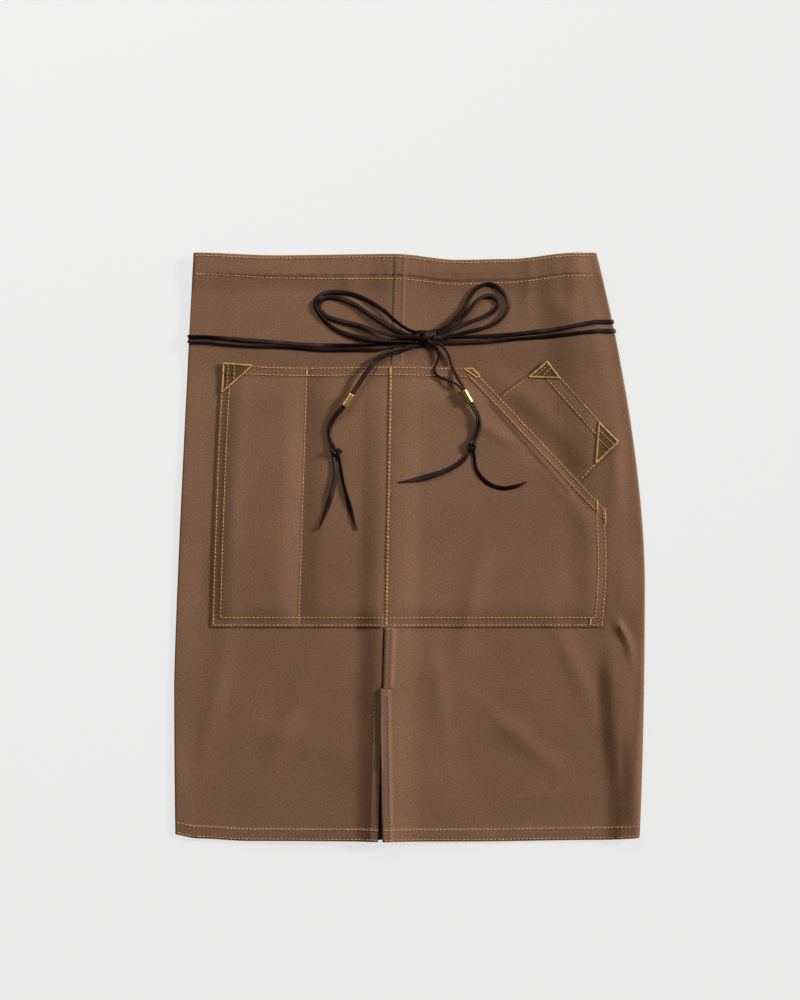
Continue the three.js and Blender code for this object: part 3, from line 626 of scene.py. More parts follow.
class ApronPockets(bpy.types.Operator):
    """Main pocket in three compartments, and the small tilted pocket under its slanted mouth"""
    bl_idname = "apron.pockets"
    bl_label = "Pockets"

    def execute(self, context):
        top = np.linspace(0, 1, 92)[:, None]
        across = np.linspace(0, 1, 150)[None, :]
        y = MAIN_BOTTOM + top * (POCKET_TOP + 0.6 - MAIN_BOTTOM)
        x = pocket_left(y) + across * (pocket_right(y) - pocket_left(y))
        # rows near the mouth bend to its sag
        y = y - ease((y - 120) / 62) * (POCKET_TOP + 0.6 - pocket_top(x))
        x = pocket_left(y) + across * (pocket_right(y) - pocket_left(y))
        grid = np.stack([x, y, main_z(x, y)], -1)
        obj = cloth_shell("main_pocket_cloth", grid, grid[..., :2], wear=edge_wear(grid), up=(9, 9))
        finish_piece(obj, material("twill"))
        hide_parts("main_pocket")
        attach(obj, "front")

        upper, lower, lower_deep, upper_deep = (np.array(c) for c in small_corners())
        u = np.linspace(0, 1, 44)[:, None, None]
        d = np.linspace(0, 1, 32)[None, :, None]
        flat = (upper + (upper_deep - upper) * d) * (1 - u) + (lower + (lower_deep - lower) * d) * u
        x, y = flat[..., 0], flat[..., 1]
        grid = np.stack([x, y, small_z(x, y)], -1)
        obj = cloth_shell("small_pocket_cloth", grid, flat, up=(9, 9))
        finish_piece(obj, material("twill"))
        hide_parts("small_pocket")
        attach(obj, "front")
        return {"FINISHED"}


PATCHES = {
    "main_pocket_patch": ((-186.6, 184.2), (-155.7, 181.9), (-188.2, 153.7)),
    "small_pocket_upper_patch": ((137.5, 186.0), (150.6, 168.7), (118.6, 169.6)),
    "small_pocket_lower_patch": ((209.1, 105.0), (185.6, 82.6), (188.8, 125.4)),
}


def pocket_of(patch):
    """Height function of the pocket that a patch is sewn to."""
    return main_z if patch.startswith("main") else small_z


class ApronPatches(bpy.types.Operator):
    """Triangular patches on the pockets' corners"""
    bl_idname = "apron.patches"
    bl_label = "Corner patches"

    def execute(self, context):
        for name, corners in PATCHES.items():
            a, b, c = (np.array(p) for p in corners)
            v = np.linspace(0.03, 1, 14)[:, None, None]
            u = np.linspace(0, 1, 14)[None, :, None]
            flat = a + v * ((1 - u) * (b - a) + u * (c - a))
            z = pocket_of(name)(flat[..., 0], flat[..., 1]) + 0.62
            grid = np.concatenate([flat, z[..., None]], -1)
            obj = cloth_shell(f"{name}_cloth", grid, flat, thickness=0.55, up=(7, 7))
            finish_piece(obj, material("patch"))
            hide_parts(name)
            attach(obj, "front")
        return {"FINISHED"}


# Leather ties. A route's rows are x, y, the height of the lace's middle over the cloth, and width

LIE = 1.0  # a lace's middle over the cloth that it lies on
OVER = 1.75  # one lace over another
BEAD_RADIUS, BEAD_LENGTH, BEAD_WALL = 3.0, 14.0, 0.45
BEAD_LIE, BEAD_SIDES = BEAD_RADIUS + 0.35, 48
UNDER_Z, BRIDGE_Z = 0.85, 5.1
BOW_CENTRE = (17.0, 209.5)
LACE_STEP = 1.8  # from one ring of a lace to the next
FOLD_RINGS = 9
TAIL, SQUEEZED, TIP = 3.0, 2.2, 6.2

UNDER = {"left": [(-48, 274.5), (-80, 261), (-130, 231), (-176, 213)],
         "right": [(48, 274.5), (80, 262), (122, 243), (160, 229)]}
WRAP = {"left": (210.0, 205.9), "right": (225.0, 216.0)}
RUN = {
    "left": ([(-150, 206.0), (-83.5, 201.5), (-29.5, 203.1), (-4.5, 206.8), (10, 208.3)],
             [(-150, 201.6), (-83.5, 197.1), (-29.5, 198.8), (-4.5, 202.7), (10, 204.2)]),
    "right": ([(113.5, 213.5), (60.5, 209.9), (34, 209), (24, 208.7)],
              [(113.5, 208.2), (60.5, 205.2), (34, 204.6), (24, 204.4)]),
}
LOOP = {
    "left": ([(14.5, 213, 2), (0.5, 216, 2), (-14.5, 226, 1.3), (-27.3, 237.4, 0.4),
              (-50.5, 250.5, 0), (-74.5, 255, 0), (-89.5, 251.5, 0), (-95, 243.5, 0),
              (-90, 231.5, 0), (-75.5, 218.5, 0), (-52.5, 210, 0.5), (-29.5, 206.5, 1),
              (-9.5, 206, 1), (12.5, 205.5, 1)],
             [(14.5, 211, 1), (0.5, 211, 1), (-17.5, 219, 0.7), (-33.9, 229, 0.3),
              (-57.5, 244.2, 0), (-75.5, 249.4, 0), (-86.8, 246.8, 0), (-89.8, 240.5, 0),
              (-83, 231, 0), (-68, 226, 0), (-49, 221.3, 0.4), (-30.5, 214.7, 1.3),
              (-9.5, 209.5, 2.1), (12.5, 208.5, 2.1)]),
    "right": ([(18.5, 213, 2), (29.5, 216, 2), (42.5, 225.5, 1.3), (53.5, 237, 0.4),
               (60.5, 250, 0), (67.5, 258.5, 0), (79.5, 262.7, 0), (92.5, 256, 0), (99, 243, 0),
               (92.5, 229, 0.3), (79.5, 220.5, 0.6), (60.5, 215.5, 0.9), (42.5, 210.5, 1),
               (29.5, 206.5, 1), (20.5, 205.5, 1)],
              [(18.5, 211, 1), (31.5, 213, 1), (47.5, 223, 0.7), (59.5, 236, 0.3),
               (67.5, 246, 0), (75.5, 251, 0), (83.5, 250.5, 0), (88.5, 244, 0),
               (85.5, 237, 0), (77.5, 231.5, 0.2), (64.5, 226, 0.8), (48.5, 219, 1.7),
               (31.5, 209.5, 2.1), (20.5, 209, 2.1)]),
}
TURN_IN = {"left": [(18, 209.5, 1), (22, 212, 1.4), (19, 214.5, 1.8)],
           "right": [(16, 209.8, 1), (12.5, 212, 1.4), (14.5, 214, 1.8)]}
TURN_OUT = {"left": [(18.5, 206.5, 1.2), (21.5, 204.2, 1.2), (17.5, 202.9, 1.1)],
            "right": [(13.5, 207, 1.4), (12, 204.6, 1.3), (15, 203.4, 1.2)]}
LEFT_TAIL = [(9.5, 202.8, 1), (-4, 197.6, 1), (-20, 193.5, 0.6), (-32.5, 187, 0.8),
             (-40.9, 177.1, "bead"), (-47.5, 167.4, "bead"), (-54, 157.6, "bead"),
             (-60.6, 147.9, "bead"), (-67.2, 138.1, "bead"), (-75.5, 128.5, 0.5),
             (-80.3, 117, 0), (-78.5, 105, 0), (-74.6, 96, 0.7)]
RIGHT_TAIL_A = [(19.5, 203, 1), (26.5, 200, 1), (29.5, 193, 1), (27.5, 185, 0), (24.5, 177.5, 0),
                (28, 171, 0.3), (37, 167, 0.8), (46, 163, "bead")]
RIGHT_TAIL_B = [(24, 204, 1), (33, 200.5, 1), (39, 192, 0.7), (42.3, 181, 0), (47.6, 169.8, 0.8)]
THROUGH = (-9, 0, 12, 17, 21)
BEADS = {"left": ((-61.4, 146.6), (0.56, 0.828)), "right": ((57.75, 150.25), (0.489, -0.872))}
END_KNOTS = {"left": ((-73.5, 95.2), 6.3, 5.0, 0.3), "right": ((62.0, 101.0), 5.0, 6.0, 1.4)}
TIPS = {
    "left": ([(-76, 92), (-75.4, 86), (-73.9, 72), (-78.9, 49.2), (-91.1, 17)],
             [(-71.4, 92), (-69.8, 86), (-66.5, 64.5), (-60.5, 41.6), (-52.1, 16.3)]),
    "right": ([(59.6, 99), (58, 92.5), (52.8, 86), (35.9, 76), (13, 69.1), (-11.5, 64.5)],
              [(63.6, 99), (64.4, 92.5), (67, 76.8), (77.2, 64.5), (92.5, 58.4), (104.8, 60),
               (117, 65.3)]),
}


def sideways(route, distance):
    """A route moved to the left of its direction, from the cross product with +Z."""
    p = np.array([(x, y) for x, y, *_ in route], float)
    heading = np.gradient(p, axis=0)
    heading /= np.linalg.norm(heading, axis=1, keepdims=True)
    moved = p + distance * np.stack([-heading[:, 1], heading[:, 0]], -1)
    return [(x, y, *rest) for (x, y), (_, _, *rest) in zip(moved, route)]


def flowing(points, step=LACE_STEP):
    """A smooth line through points: cubic Hermite pieces whose slopes weigh the two neighbours by
    the root of their distances, put at even steps along it. Columns past the third follow along."""
    p = np.asarray(points, float)
    gap = np.maximum(np.linalg.norm(np.diff(p[:, :3], axis=0), axis=1), 1e-6) ** 0.5
    knot = np.concatenate([[0], np.cumsum(gap)])
    rate = np.diff(p, axis=0) / gap[:, None]
    inner = ((rate[:-1] * gap[1:, None] + rate[1:] * gap[:-1, None])
             / (gap[1:] + gap[:-1])[:, None])
    slope = np.concatenate([rate[:1], inner, rate[-1:]])
    at = np.linspace(0, knot[-1], 24 * len(p))
    i = np.clip(np.searchsorted(knot, at, side="right") - 1, 0, len(gap) - 1)
    h = gap[i][:, None]
    t = ((at - knot[i]) / gap[i])[:, None]
    line = ((2 * t ** 3 - 3 * t ** 2 + 1) * p[i] + (t ** 3 - 2 * t ** 2 + t) * h * slope[i]
            + (3 * t ** 2 - 2 * t ** 3) * p[i + 1] + (t ** 3 - t ** 2) * h * slope[i + 1])
    return even(line, step)


def even(line, step):
    """The same line at even steps along its first three columns."""
    length = np.concatenate(
        [[0], np.cumsum(np.linalg.norm(np.diff(line[:, :3], axis=0), axis=1))])
    at = np.linspace(0, length[-1], max(4, int(round(length[-1] / step)) + 1))
    return np.stack([np.interp(at, length, column) for column in line.T], -1)


def averaged(values, reach):
    """Moving average over twice a reach, with the ends held."""
    padded = np.pad(values, reach, mode="edge")
    kernel = np.hanning(2 * reach + 3)[1:-1]
    return np.convolve(padded, kernel / kernel.sum(), mode="valid")


def bridge_and_under(name, strand):
    """From the middle of the bridge through an eyelet and along under the wing: x, y and z."""
    s = SIDES[name]["sign"]
    inner, outer = EYELET_XS
    hole, back = (outer, -1) if strand == 0 else (inner, 1)
    rows = [(24, BRIDGE_Z), (hole + 3.2 * back, BRIDGE_Z), (hole + 0.9 * back, 4.7), (hole, 3.4),
            (hole, 2.6), (hole + 0.9, 1.2), (hole + 3.2, UNDER_Z), (hole + 7, UNDER_Z)]
    points = [(s * x, EYELET_Y, z) for x, z in rows]
    if strand == 1:
        points += [(s * 25.4, EYELET_Y, UNDER_Z), (s * 31, EYELET_Y - 5.6, UNDER_Z)]
    shifted = sideways(UNDER[name], s * 2.2 * (1 if strand == 0 else -1))
    points += [(x, y, UNDER_Z) for x, y in shifted]
    wrap = WRAP[name][strand]
    edge = float(side_x(name, np.array(wrap)))
    return points + [(edge - s * 14, wrap, UNDER_Z), (edge - s * 9, wrap, UNDER_Z)]


def round_fold(name, strand):
    """Round the side fold from below: the fold's own half ellipse, grown by the lace's lie."""
    s = SIDES[name]["sign"]
    wrap = np.array(WRAP[name][strand])
    t = np.linspace(1, 0, FOLD_RINGS)
    x, z = wing_columns(name, wrap, "roll", t)
    x, z = x + s * LIE * np.cos(math.pi * (0.5 - t)), z + LIE * np.sin(math.pi * (0.5 - t))
    fx, fz = wing_columns(name, wrap, "flank", np.array([0.75, 0.4]))
    ring = np.stack([x, np.full(FOLD_RINGS, wrap), np.maximum(z, UNDER_Z)], -1)
    down = np.stack([fx, np.full(2, wrap), fz + LIE], -1)
    return np.concatenate([ring, down]).tolist()


def face_route(name, strand):
    """Over the front: run, bow and tail as rows of x, y, height over the cloth, width, and 1 where
    the lace is held straight by its bead."""
    lace = ties().width / MM
    rows = [(x, y, LIE, lace, 0) for x, y in RUN[name][strand]]
    for x, y, level in TURN_IN[name] + LOOP[name][strand] + TURN_OUT[name]:
        rows.append((x, y, LIE + OVER * level, lace, 0))
    offset = (1.2 if strand == 0 else -1.2) * (1 if name == "left" else -1)
    if name == "left":
        tail = sideways(LEFT_TAIL, offset)
    else:
        (bx, by), (dx, dy) = BEADS[name]
        straight = [(bx + t * dx - offset * dy, by + t * dy + offset * dx, "bead")
                    for t in THROUGH]
        end = ([(67.6, 122, 0.5), (64.6, 112, 0), (60.9, 103, 0.7)] if strand == 0
               else [(70.2, 122, 0.5), (67.3, 111.5, 0), (63.6, 102, 0.7)])
        tail = (RIGHT_TAIL_A if strand == 0 else RIGHT_TAIL_B) + straight + end
    for x, y, level in tail:
        if level == "bead":
            rows.append((x, y, BEAD_LIE, SQUEEZED, 1))
        else:
            rows.append((x, y, LIE + OVER * level, TAIL, 0))
    tips = TIPS[name][strand]
    last = len(tips) - 1
    widths = np.interp(np.arange(len(tips)), [0, 1, last - 1.4, last - 0.35, last],
                       [TAIL, 3.4, TIP, 5.6, 0.5])
    for (x, y), width in zip(tips, widths):
        rows.append((x, y, LIE - 0.15, width, 0))
    return rows


def bead_height(name):
    """Height of a bead's axis, clear of everything along its travel."""
    (x, y), (dx, dy) = BEADS[name]
    t = np.linspace(-8, 31 if name == "left" else 20, 20)
    return float(surface_z(x + t * dx, y + t * dy).max()) + BEAD_LIE


def strand_line(name, strand):
    """Whole centre line of a strand with its widths, and how far round the fold each point is."""
    lace = ties().width / MM
    ring = round_fold(name, strand)
    hidden = [(x, y, z, lace) for x, y, z in bridge_and_under(name, strand)]
    wrapped = [(x, y, z, lace) for x, y, z in ring]
    face = flowing([(x, y, 0, w, lift, held) for x, y, lift, w, held in
                    [(ring[-1][0], ring[-1][1], LIE, lace, 0)] + face_route(name, strand)])
    x, y, _, width, lift, held = face.T
    ground = surface_z(x, y)
    z = np.maximum(averaged(ground, 7), averaged(ground, 2)) + lift
    held = ease(averaged(held, 3) * 1.4)
    z = z * (1 - held) + bead_height(name) * held
    seen = np.stack([x, y, averaged(z, 3), width], -1)[2:]
    line = even(np.concatenate([flowing(hidden + wrapped), seen]), LACE_STEP)
    line[:, 2] = averaged(line[:, 2], 1)
    s = SIDES[name]["sign"]
    edge_side = (line[:, 0] * s) > s * ring[0][0] - 0.01
    share = np.zeros(len(line))
    outermost = int(np.argmax(line[:, 0] * s * (np.arange(len(line)) < len(line) // 2)))
    low, high = ring[0][2], ring[FOLD_RINGS - 1][2]
    share[:outermost] = 1.0
    near = edge_side & (np.abs(np.arange(len(line)) - outermost) < 12)
    share[near] = np.clip((high - line[near, 2]) / (high - low), 0, 1)
    return line, share


def ribbon_frames(line, twist=0.0):
    """Directions across and out of a flat lace: level and square to its line, kept from flipping,
    carried over the stretches that stand upright, and then rolled by a twist."""
    tangent = np.gradient(line[:, :3], axis=0)
    tangent /= np.linalg.norm(tangent, axis=1, keepdims=True)
    level = np.stack([-tangent[:, 1], tangent[:, 0], np.zeros(len(line))], -1)
    size = np.linalg.norm(level, axis=1)
    good = np.flatnonzero(size > 0.35)
    across = level[good] / size[good][:, None]
    flips = np.sign(np.einsum("ij,ij->i", across[1:], across[:-1]))
    across = across * np.cumprod(np.concatenate([[1], np.where(flips == 0, 1, flips)]))[:, None]
    index = np.arange(len(line))
    across = np.stack([np.interp(index, good, column) for column in across.T], -1)
    across -= tangent * np.einsum("ij,ij->i", across, tangent)[:, None]
    across /= np.linalg.norm(across, axis=1, keepdims=True)
    out = np.cross(tangent, across)
    c, s = np.cos(twist)[:, None], np.sin(twist)[:, None]
    return across * c + out * s, out * c - across * s


def lace_tube(name, line, thickness, twist):
    """A flat lace along a line: a superellipse as wide as the line's fourth column says, carried
    along it and rolled by a twist, closed at both ends."""
    sides = ties().sides
    across, out = ribbon_frames(line, twist)
    angle = 2 * math.pi * np.arange(sides) / sides
    bow = lambda v, power: np.sign(v) * np.abs(v) ** power
    wide = bow(np.cos(angle), 0.62)[None, :, None] * across[:, None, :]
    deep = bow(np.sin(angle), 0.85)[None, :, None] * out[:, None, :]
    points = (line[:, None, :3] + wide * (line[:, 3] / 2)[:, None, None]
              + deep * (np.asarray(thickness) / 2)[:, None, None])
    at, quads = ring_quads(len(line), sides)
    flat = points.reshape(-1, 3)
    if signed_volume(flat, quads) < 0:
        quads = quads[:, ::-1]
        caps = [at[0].tolist(), at[-1][::-1].tolist()]
    else:
        caps = [at[0][::-1].tolist(), at[-1].tolist()]
    return mesh_from(name, flat, quads.tolist() + caps, sharp=70)


def joined(name, parts):
    """One mesh from several, with their vertices and faces one after another."""
    points, faces, start = [], [], 0
    for part in parts:
        points += [tuple(v.co / MM) for v in part.data.vertices]
        faces += [[start + i for i in p.vertices] for p in part.data.polygons]
        start = len(points)
        bpy.data.objects.remove(part)
    return mesh_from(name, points, faces, sharp=70)


KNOT_WIDTH, KNOT_THICKNESS = 3.1, 1.8
WRAP_WIDTH, WRAP_THICKNESS = 4.0, 1.7


def overhand_knot(name, centre, rx, ry, angle):
    """A small knot tied in two laces: a trefoil, whose radius is a third of two plus the cosine of
    three times its turn, squeezed to an oval and laid on the cloth."""
    t = np.linspace(0, 2 * math.pi, 90)
    spread = (2 + np.cos(3 * t)) / 3
    x, y = spread * np.cos(2 * t), spread * np.sin(2 * t)
    c, s = math.cos(angle), math.sin(angle)
    ground = float(surface_z(*(np.array(v) for v in centre)))
    line = np.stack([centre[0] + (rx - 1.6) * (x * c - y * s),
                     centre[1] + (ry - 1.6) * (x * s + y * c),
                     ground + 2.5 + 1.1 * np.sin(3 * t), np.full(len(t), KNOT_WIDTH)], -1)
    return lace_tube(name, line, np.full(len(t), KNOT_THICKNESS), 0.5 * np.sin(2 * t))


class ApronTies(bpy.types.Operator):
    """Four strands of the two doubled laces, from their eyelets to their tips"""
    bl_idname = "apron.ties"
    bl_label = "Leather ties"

    def execute(self, context):
        self.bow_knot()
        for name in SIDES:
            self.end_knot(name)
            self.bead(name)
            for strand, letter in enumerate("ab"):
                self.strand(name, strand, letter)
        return {"FINISHED"}

    def strand(self, name, strand, letter):
        line, share = strand_line(name, strand)
        along = np.arange(len(line)) * LACE_STEP
        phase = 1.7 * strand + (0.9 if name == "left" else 0)
        twist = 0.62 * np.sin(along / 31 + phase) + 0.24 * np.sin(along / 12 + 2 * phase)
        twist = twist * ease((along - 200) / 40)
        thick = (ties().thickness / MM) * np.where(line[:, 3] < 2.8, 1.12, 1.0)
        thick = thick * np.where(along > along[-1] - 70, 0.72, 1.0)
        obj = lace_tube(f"{name}_tie_{letter}", line, averaged(thick, 6), twist)
        finish_piece(obj, material("leather"))
        nodes = [f"{name}_{part}_{letter}" for part in
                 ("tie_under", "tie_bend", "tie_front", "bow_loop", "tail", "tip")]
        if letter == "a":
            nodes.append(f"{name}_tie_bridge")
        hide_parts(*nodes)
        blend_by(obj, np.repeat(share, ties().sides))
        with_pieces = [f"{name}_bead_tube", f"{name}_end_knot_tied"] if letter == "a" else []
        if (name, letter) == ("left", "a"):
            with_pieces.append("bow_knot_tied")

    def end_knot(self, name):
        centre, rx, ry, angle = END_KNOTS[name]
        obj = overhand_knot(f"{name}_end_knot_tied", centre, rx, ry, angle)
        finish_piece(obj, material("leather"))
        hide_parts(f"{name}_end_knot")
        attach(obj, "front")

    def bow_knot(self):
        """Two laces lie over the middle of the bow from lower left to upper right, and six more
        show beside, above and below them."""
        cx, cy = BOW_CENTRE
        ground = float(surface_z(np.array(cx), np.array(cy)))
        parts = []
        arcs = (((-1.9, 0.2), 0.95, 7.2, 8.6), ((2.0, -0.2), 0.95, 7.2, 8.3),
                ((-7.5, -1.2), 1.9, 6.4, 6.2), ((7.2, 1.0), 1.6, 6.2, 6.4),
                ((-10.5, 0.6), 0.15, 4.6, 5.2), ((10.8, -0.6), 0.05, 4.6, 5.4),
                ((0.0, -4.4), 0.1, 8.5, 5.6), ((0.6, 4.6), -0.1, 8.5, 5.4))
        for i, ((dx, dy), angle, reach, high) in enumerate(arcs):
            t = np.linspace(-0.12, math.pi + 0.12, 30)
            c, s = math.cos(angle), math.sin(angle)
            u, z = reach * np.cos(t), np.maximum((high - 1) * np.sin(t), -0.2) + 0.9
            line = np.stack([cx + dx + c * u, cy + dy + s * u, ground + z,
                             np.full(len(t), WRAP_WIDTH)], -1)
            parts.append(lace_tube(f"wrap_{i}", line, np.full(len(t), WRAP_THICKNESS),
                                   0.12 * np.sin(2 * t)))
        obj = joined("bow_knot_tied", parts)
        finish_piece(obj, material("leather"))
        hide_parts("bow_knot")
        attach(obj, "front")

    def bead(self, name):
        """A tube turned from an outline with eased rims, along the line of the tails."""
        (x, y), (dx, dy) = BEADS[name]
        half, r, w = BEAD_LENGTH / 2, BEAD_RADIUS, BEAD_WALL
        outline = np.array([(-half, r - w), (-half, r - 0.15), (-half + 0.3, r), (-half + 0.8, r),
                            (half - 0.8, r), (half - 0.3, r), (half, r - 0.15), (half, r - w)])
        angle = 2 * math.pi * np.arange(BEAD_SIDES) / BEAD_SIDES
        axis, side = np.array([dx, dy, 0]), np.array([-dy, dx, 0])
        axis = axis / np.linalg.norm(axis)
        radial = np.cos(angle)[:, None] * side + np.sin(angle)[:, None] * np.array([0, 0, 1.0])
        centre = np.array([x, y, bead_height(name)])
        points = (centre + outline[None, :, :1] * axis + outline[None, :, 1:] * radial[:, None, :])
        at = np.arange(BEAD_SIDES * len(outline)).reshape(BEAD_SIDES, len(outline))
        nxt, on = np.roll(at, -1, axis=0), np.roll(at, -1, axis=1)
        quads = np.stack([at, nxt, np.roll(nxt, -1, axis=1), on], -1).reshape(-1, 4)
        if signed_volume(points.reshape(-1, 3), quads) < 0:
            quads = quads[:, ::-1]
        obj = mesh_from(f"{name}_bead_tube", points, quads.tolist(), sharp=30)
        finish_piece(obj, material("brass"))
        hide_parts(f"{name}_bead")
        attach(obj, f"{name}_bead")


# Stitching. A row is a line of x, y points, walked at the stitch pitch

def walk(points, pitch):
    """Places and headings at even steps along a line of points."""
    p = np.asarray(points, float)
    length = np.concatenate([[0], np.cumsum(np.linalg.norm(np.diff(p, axis=0), axis=1))])
    at = np.arange(pitch / 2, length[-1], pitch)
    on_line = lambda t: np.stack([np.interp(t, length, column) for column in p.T], -1)
    heading = on_line(at + 0.5) - on_line(at - 0.5)
    return on_line(at), heading / np.maximum(np.linalg.norm(heading, axis=1, keepdims=True), 1e-9)


def line_of(x, y, count=60):
    """Points of a row: straight between two ends, or a function of x or of y between them."""
    if callable(y):
        xs = np.linspace(*x, count)
        return np.stack([xs, y(xs)], -1)
    ys = np.linspace(*y, count)
    return np.stack([x(ys) if callable(x) else np.linspace(*x, count), ys], -1)


def walked(lines, pitch):
    """Places and headings along several lines, one after another."""
    return (np.concatenate(column) for column in zip(*(walk(line, pitch) for line in lines)))


def stitch_rows(rows, height, share=0.84):
    """Places, headings and lengths of every stitch of some rows, with each one's height."""
    pitch = thread().pitch / MM
    place, heading = walked(rows, pitch)
    return place, heading, np.full(len(place), pitch * share), height(*place.T)


def satin_rows(lines, height, length=2.5, pitch=0.62):
    """Dense stitches square to each line, as on a bar tack or round a patch."""
    place, heading = walked(lines, pitch)
    heading = np.stack([-heading[:, 1], heading[:, 0]], -1)
    return place, heading, np.full(len(place), length), height(*place.T)


STITCH_SHAPE = ((-0.5, 0.25, -0.55), (-0.36, 0.85, -0.12), (0.0, 1.0, 0.3), (0.36, 0.85, -0.12),
                (0.5, 0.25, -0.55))  # along, radius, height, in stitch lengths and thread radii
TONE_RADIUS, SATIN_RADIUS = 0.34, 0.40
HEM_ROWS, POCKET_ROWS = (11.8, 2.0), (2.0, 9.2)  # insets of the double rows


def stitches(name, groups, radius=None, material_name="thread"):
    """Short threads of six sides whose middles stand up and whose ends dip into the cloth: one
    outline carried to every place and turned to its heading, with a slight sway of its own."""
    place, heading, length, z = (np.concatenate([g[i] for g in groups]) for i in range(4))
    radius = radius or thread().thread / MM
    count = len(place)
    sway = 0.10 * np.sin(np.arange(count) * 2.4)
    c, s = np.cos(sway), np.sin(sway)
    heading = np.stack([heading[:, 0] * c - heading[:, 1] * s,
                        heading[:, 0] * s + heading[:, 1] * c], -1)
    shape = np.array(STITCH_SHAPE)
    angle = 2 * math.pi * np.arange(6) / 6
    along = np.repeat(shape[:, 0], 6)
    across = (shape[:, 1:2] * np.cos(angle)[None, :]).ravel() * radius
    high = (shape[:, 1:2] * np.sin(angle)[None, :] * 0.8 + shape[:, 2:3]).ravel() * radius
    points = np.empty((count, 30, 3))
    u = length[:, None] * along[None, :]
    points[..., 0] = place[:, :1] + u * heading[:, :1] - across * heading[:, 1:]
    points[..., 1] = place[:, 1:] + u * heading[:, 1:] + across * heading[:, :1]
    points[..., 2] = z[:, None] + 0.28 * radius + high
    at, quads = ring_quads(5, 6)
    step = (np.arange(count) * 30)[:, None, None]
    body = (quads[None] + step).reshape(-1, 4)
    ends = (np.stack([at[0][::-1], at[-1]])[None] + step).reshape(-1, 6)
    if signed_volume(points.reshape(-1, 3), body) < 0:
        body, ends = body[:, ::-1], ends[:, ::-1]
    obj = mesh_from(name, points, body.tolist() + ends.tolist(), sharp=None)
    return finish_piece(obj, material(material_name))


def waist_row(x):
    """Lower stitched row of the waist band."""
    return top_y(x) - through(x, (-216, -15, 190), (21.4, 24.8, 22.8))


def near_edge(name, y):
    return side_x(name, y) - SIDES[name]["sign"] * 2.2


def fold_z(name, x, y):
    """Top of the cloth beside a side edge: the front's, then the fold's flank."""
    s = SIDES[name]["sign"]
    start = fold_start(name, y)
    middle, top = wing_columns(name, y, "roll", np.zeros(1))
    t = np.clip((x - start) / (middle - start), 0, 1)
    return np.where((x - start) * s > 0, front_z(x, y) * (1 - ease(t)) + top * ease(t),
                    front_z(x, y) + (seam_ridge(x, y) if s > 0 else 0))


def hem_rows(start, end):
    return [line_of((start, end), lambda x, rise=rise: hem_y(x) + rise) for rise in HEM_ROWS]


def beside_slit(name, distance, start, end):
    """A row at a distance to the right of a middle edge, between two heights."""
    return line_of(lambda y: slit_x(name, y) + distance, (start, end))


class ApronBandStitches(bpy.types.Operator):
    """Rows along the waist band and the hem, and the darker rows of the centre seam and slit"""
    bl_idname = "apron.band_stitches"
    bl_label = "Band and hem stitching"

    def execute(self, context):
        for name, side in SIDES.items():
            s = side["sign"]
            edge = float(near_edge(name, np.array(WAIST_Y)))
            seam = float(seam_x(np.array(WAIST_Y))) + 0.6 * s
            height = partial(fold_z, name)
            rows = [line_of((seam, edge), lambda x: top_y(x) - 3.0),
                    line_of((seam, edge), waist_row)]
            obj = stitches(f"{name}_waist_stitches", [stitch_rows(rows, height)])
            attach(obj, "front")

            corner = float(fold_start(name, np.array(HEM_Y)))
            first = float(slit_x(name, np.array(HEM_Y + 10))) + 1.4 * s
            obj = stitches(f"{name}_hem_stitches", [
                stitch_rows(hem_rows(first, corner), height)])
            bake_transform(obj)
            last = float(near_edge(name, np.array(HEM_Y)))
            obj = stitches(f"{name}_fold_hem_stitches", [
                stitch_rows(hem_rows(corner, last), height)])
            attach(obj, "front")

        rows = [beside_slit("right", 1.8, POCKET_TOP + 3, WAIST_Y - 5),
                beside_slit("right", 9.6, POCKET_TOP + 3, WAIST_Y - 5),
                beside_slit("right", 1.7, SLIT_TOP + 1, MAIN_BOTTOM - 2),
                beside_slit("right", 6.6, SLIT_TOP + 1, MAIN_BOTTOM - 2),
                line_of((-27.0, -19.8), (SLIT_TOP + 0.5, SLIT_TOP + 0.6), 4)]
        obj = stitches("seam_stitches", [stitch_rows(rows, partial(fold_z, "right"))],
                       TONE_RADIUS, "tone_thread")
        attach(obj, "front")
        for name, side in SIDES.items():
            rows = [beside_slit(name, 7.4 * side["sign"], HEM_Y + 3, SLIT_TOP - 6)]
            obj = stitches(f"{name}_slit_stitches", [stitch_rows(rows, partial(fold_z, name))],
                           TONE_RADIUS, "tone_thread")
            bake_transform(obj)
        return {"FINISHED"}


def inset_line(a, b, distance, trim=0.0):
    """The line from a to b moved to its right, with both ends trimmed."""
    a, b = np.array(a, float), np.array(b, float)
    along = (b - a) / np.linalg.norm(b - a)
    right = np.array([along[1], -along[0]])
    return np.stack([a + right * distance + along * trim, b + right * distance - along * trim])


def at_slant(a, b):
    """Where the side from a to b passes under the slanted mouth."""
    da, db = slant_distance(*a), slant_distance(*b)
    t = float((-0.6 - da) / (db - da))
    return a[0] + (b[0] - a[0]) * t, a[1] + (b[1] - a[1]) * t


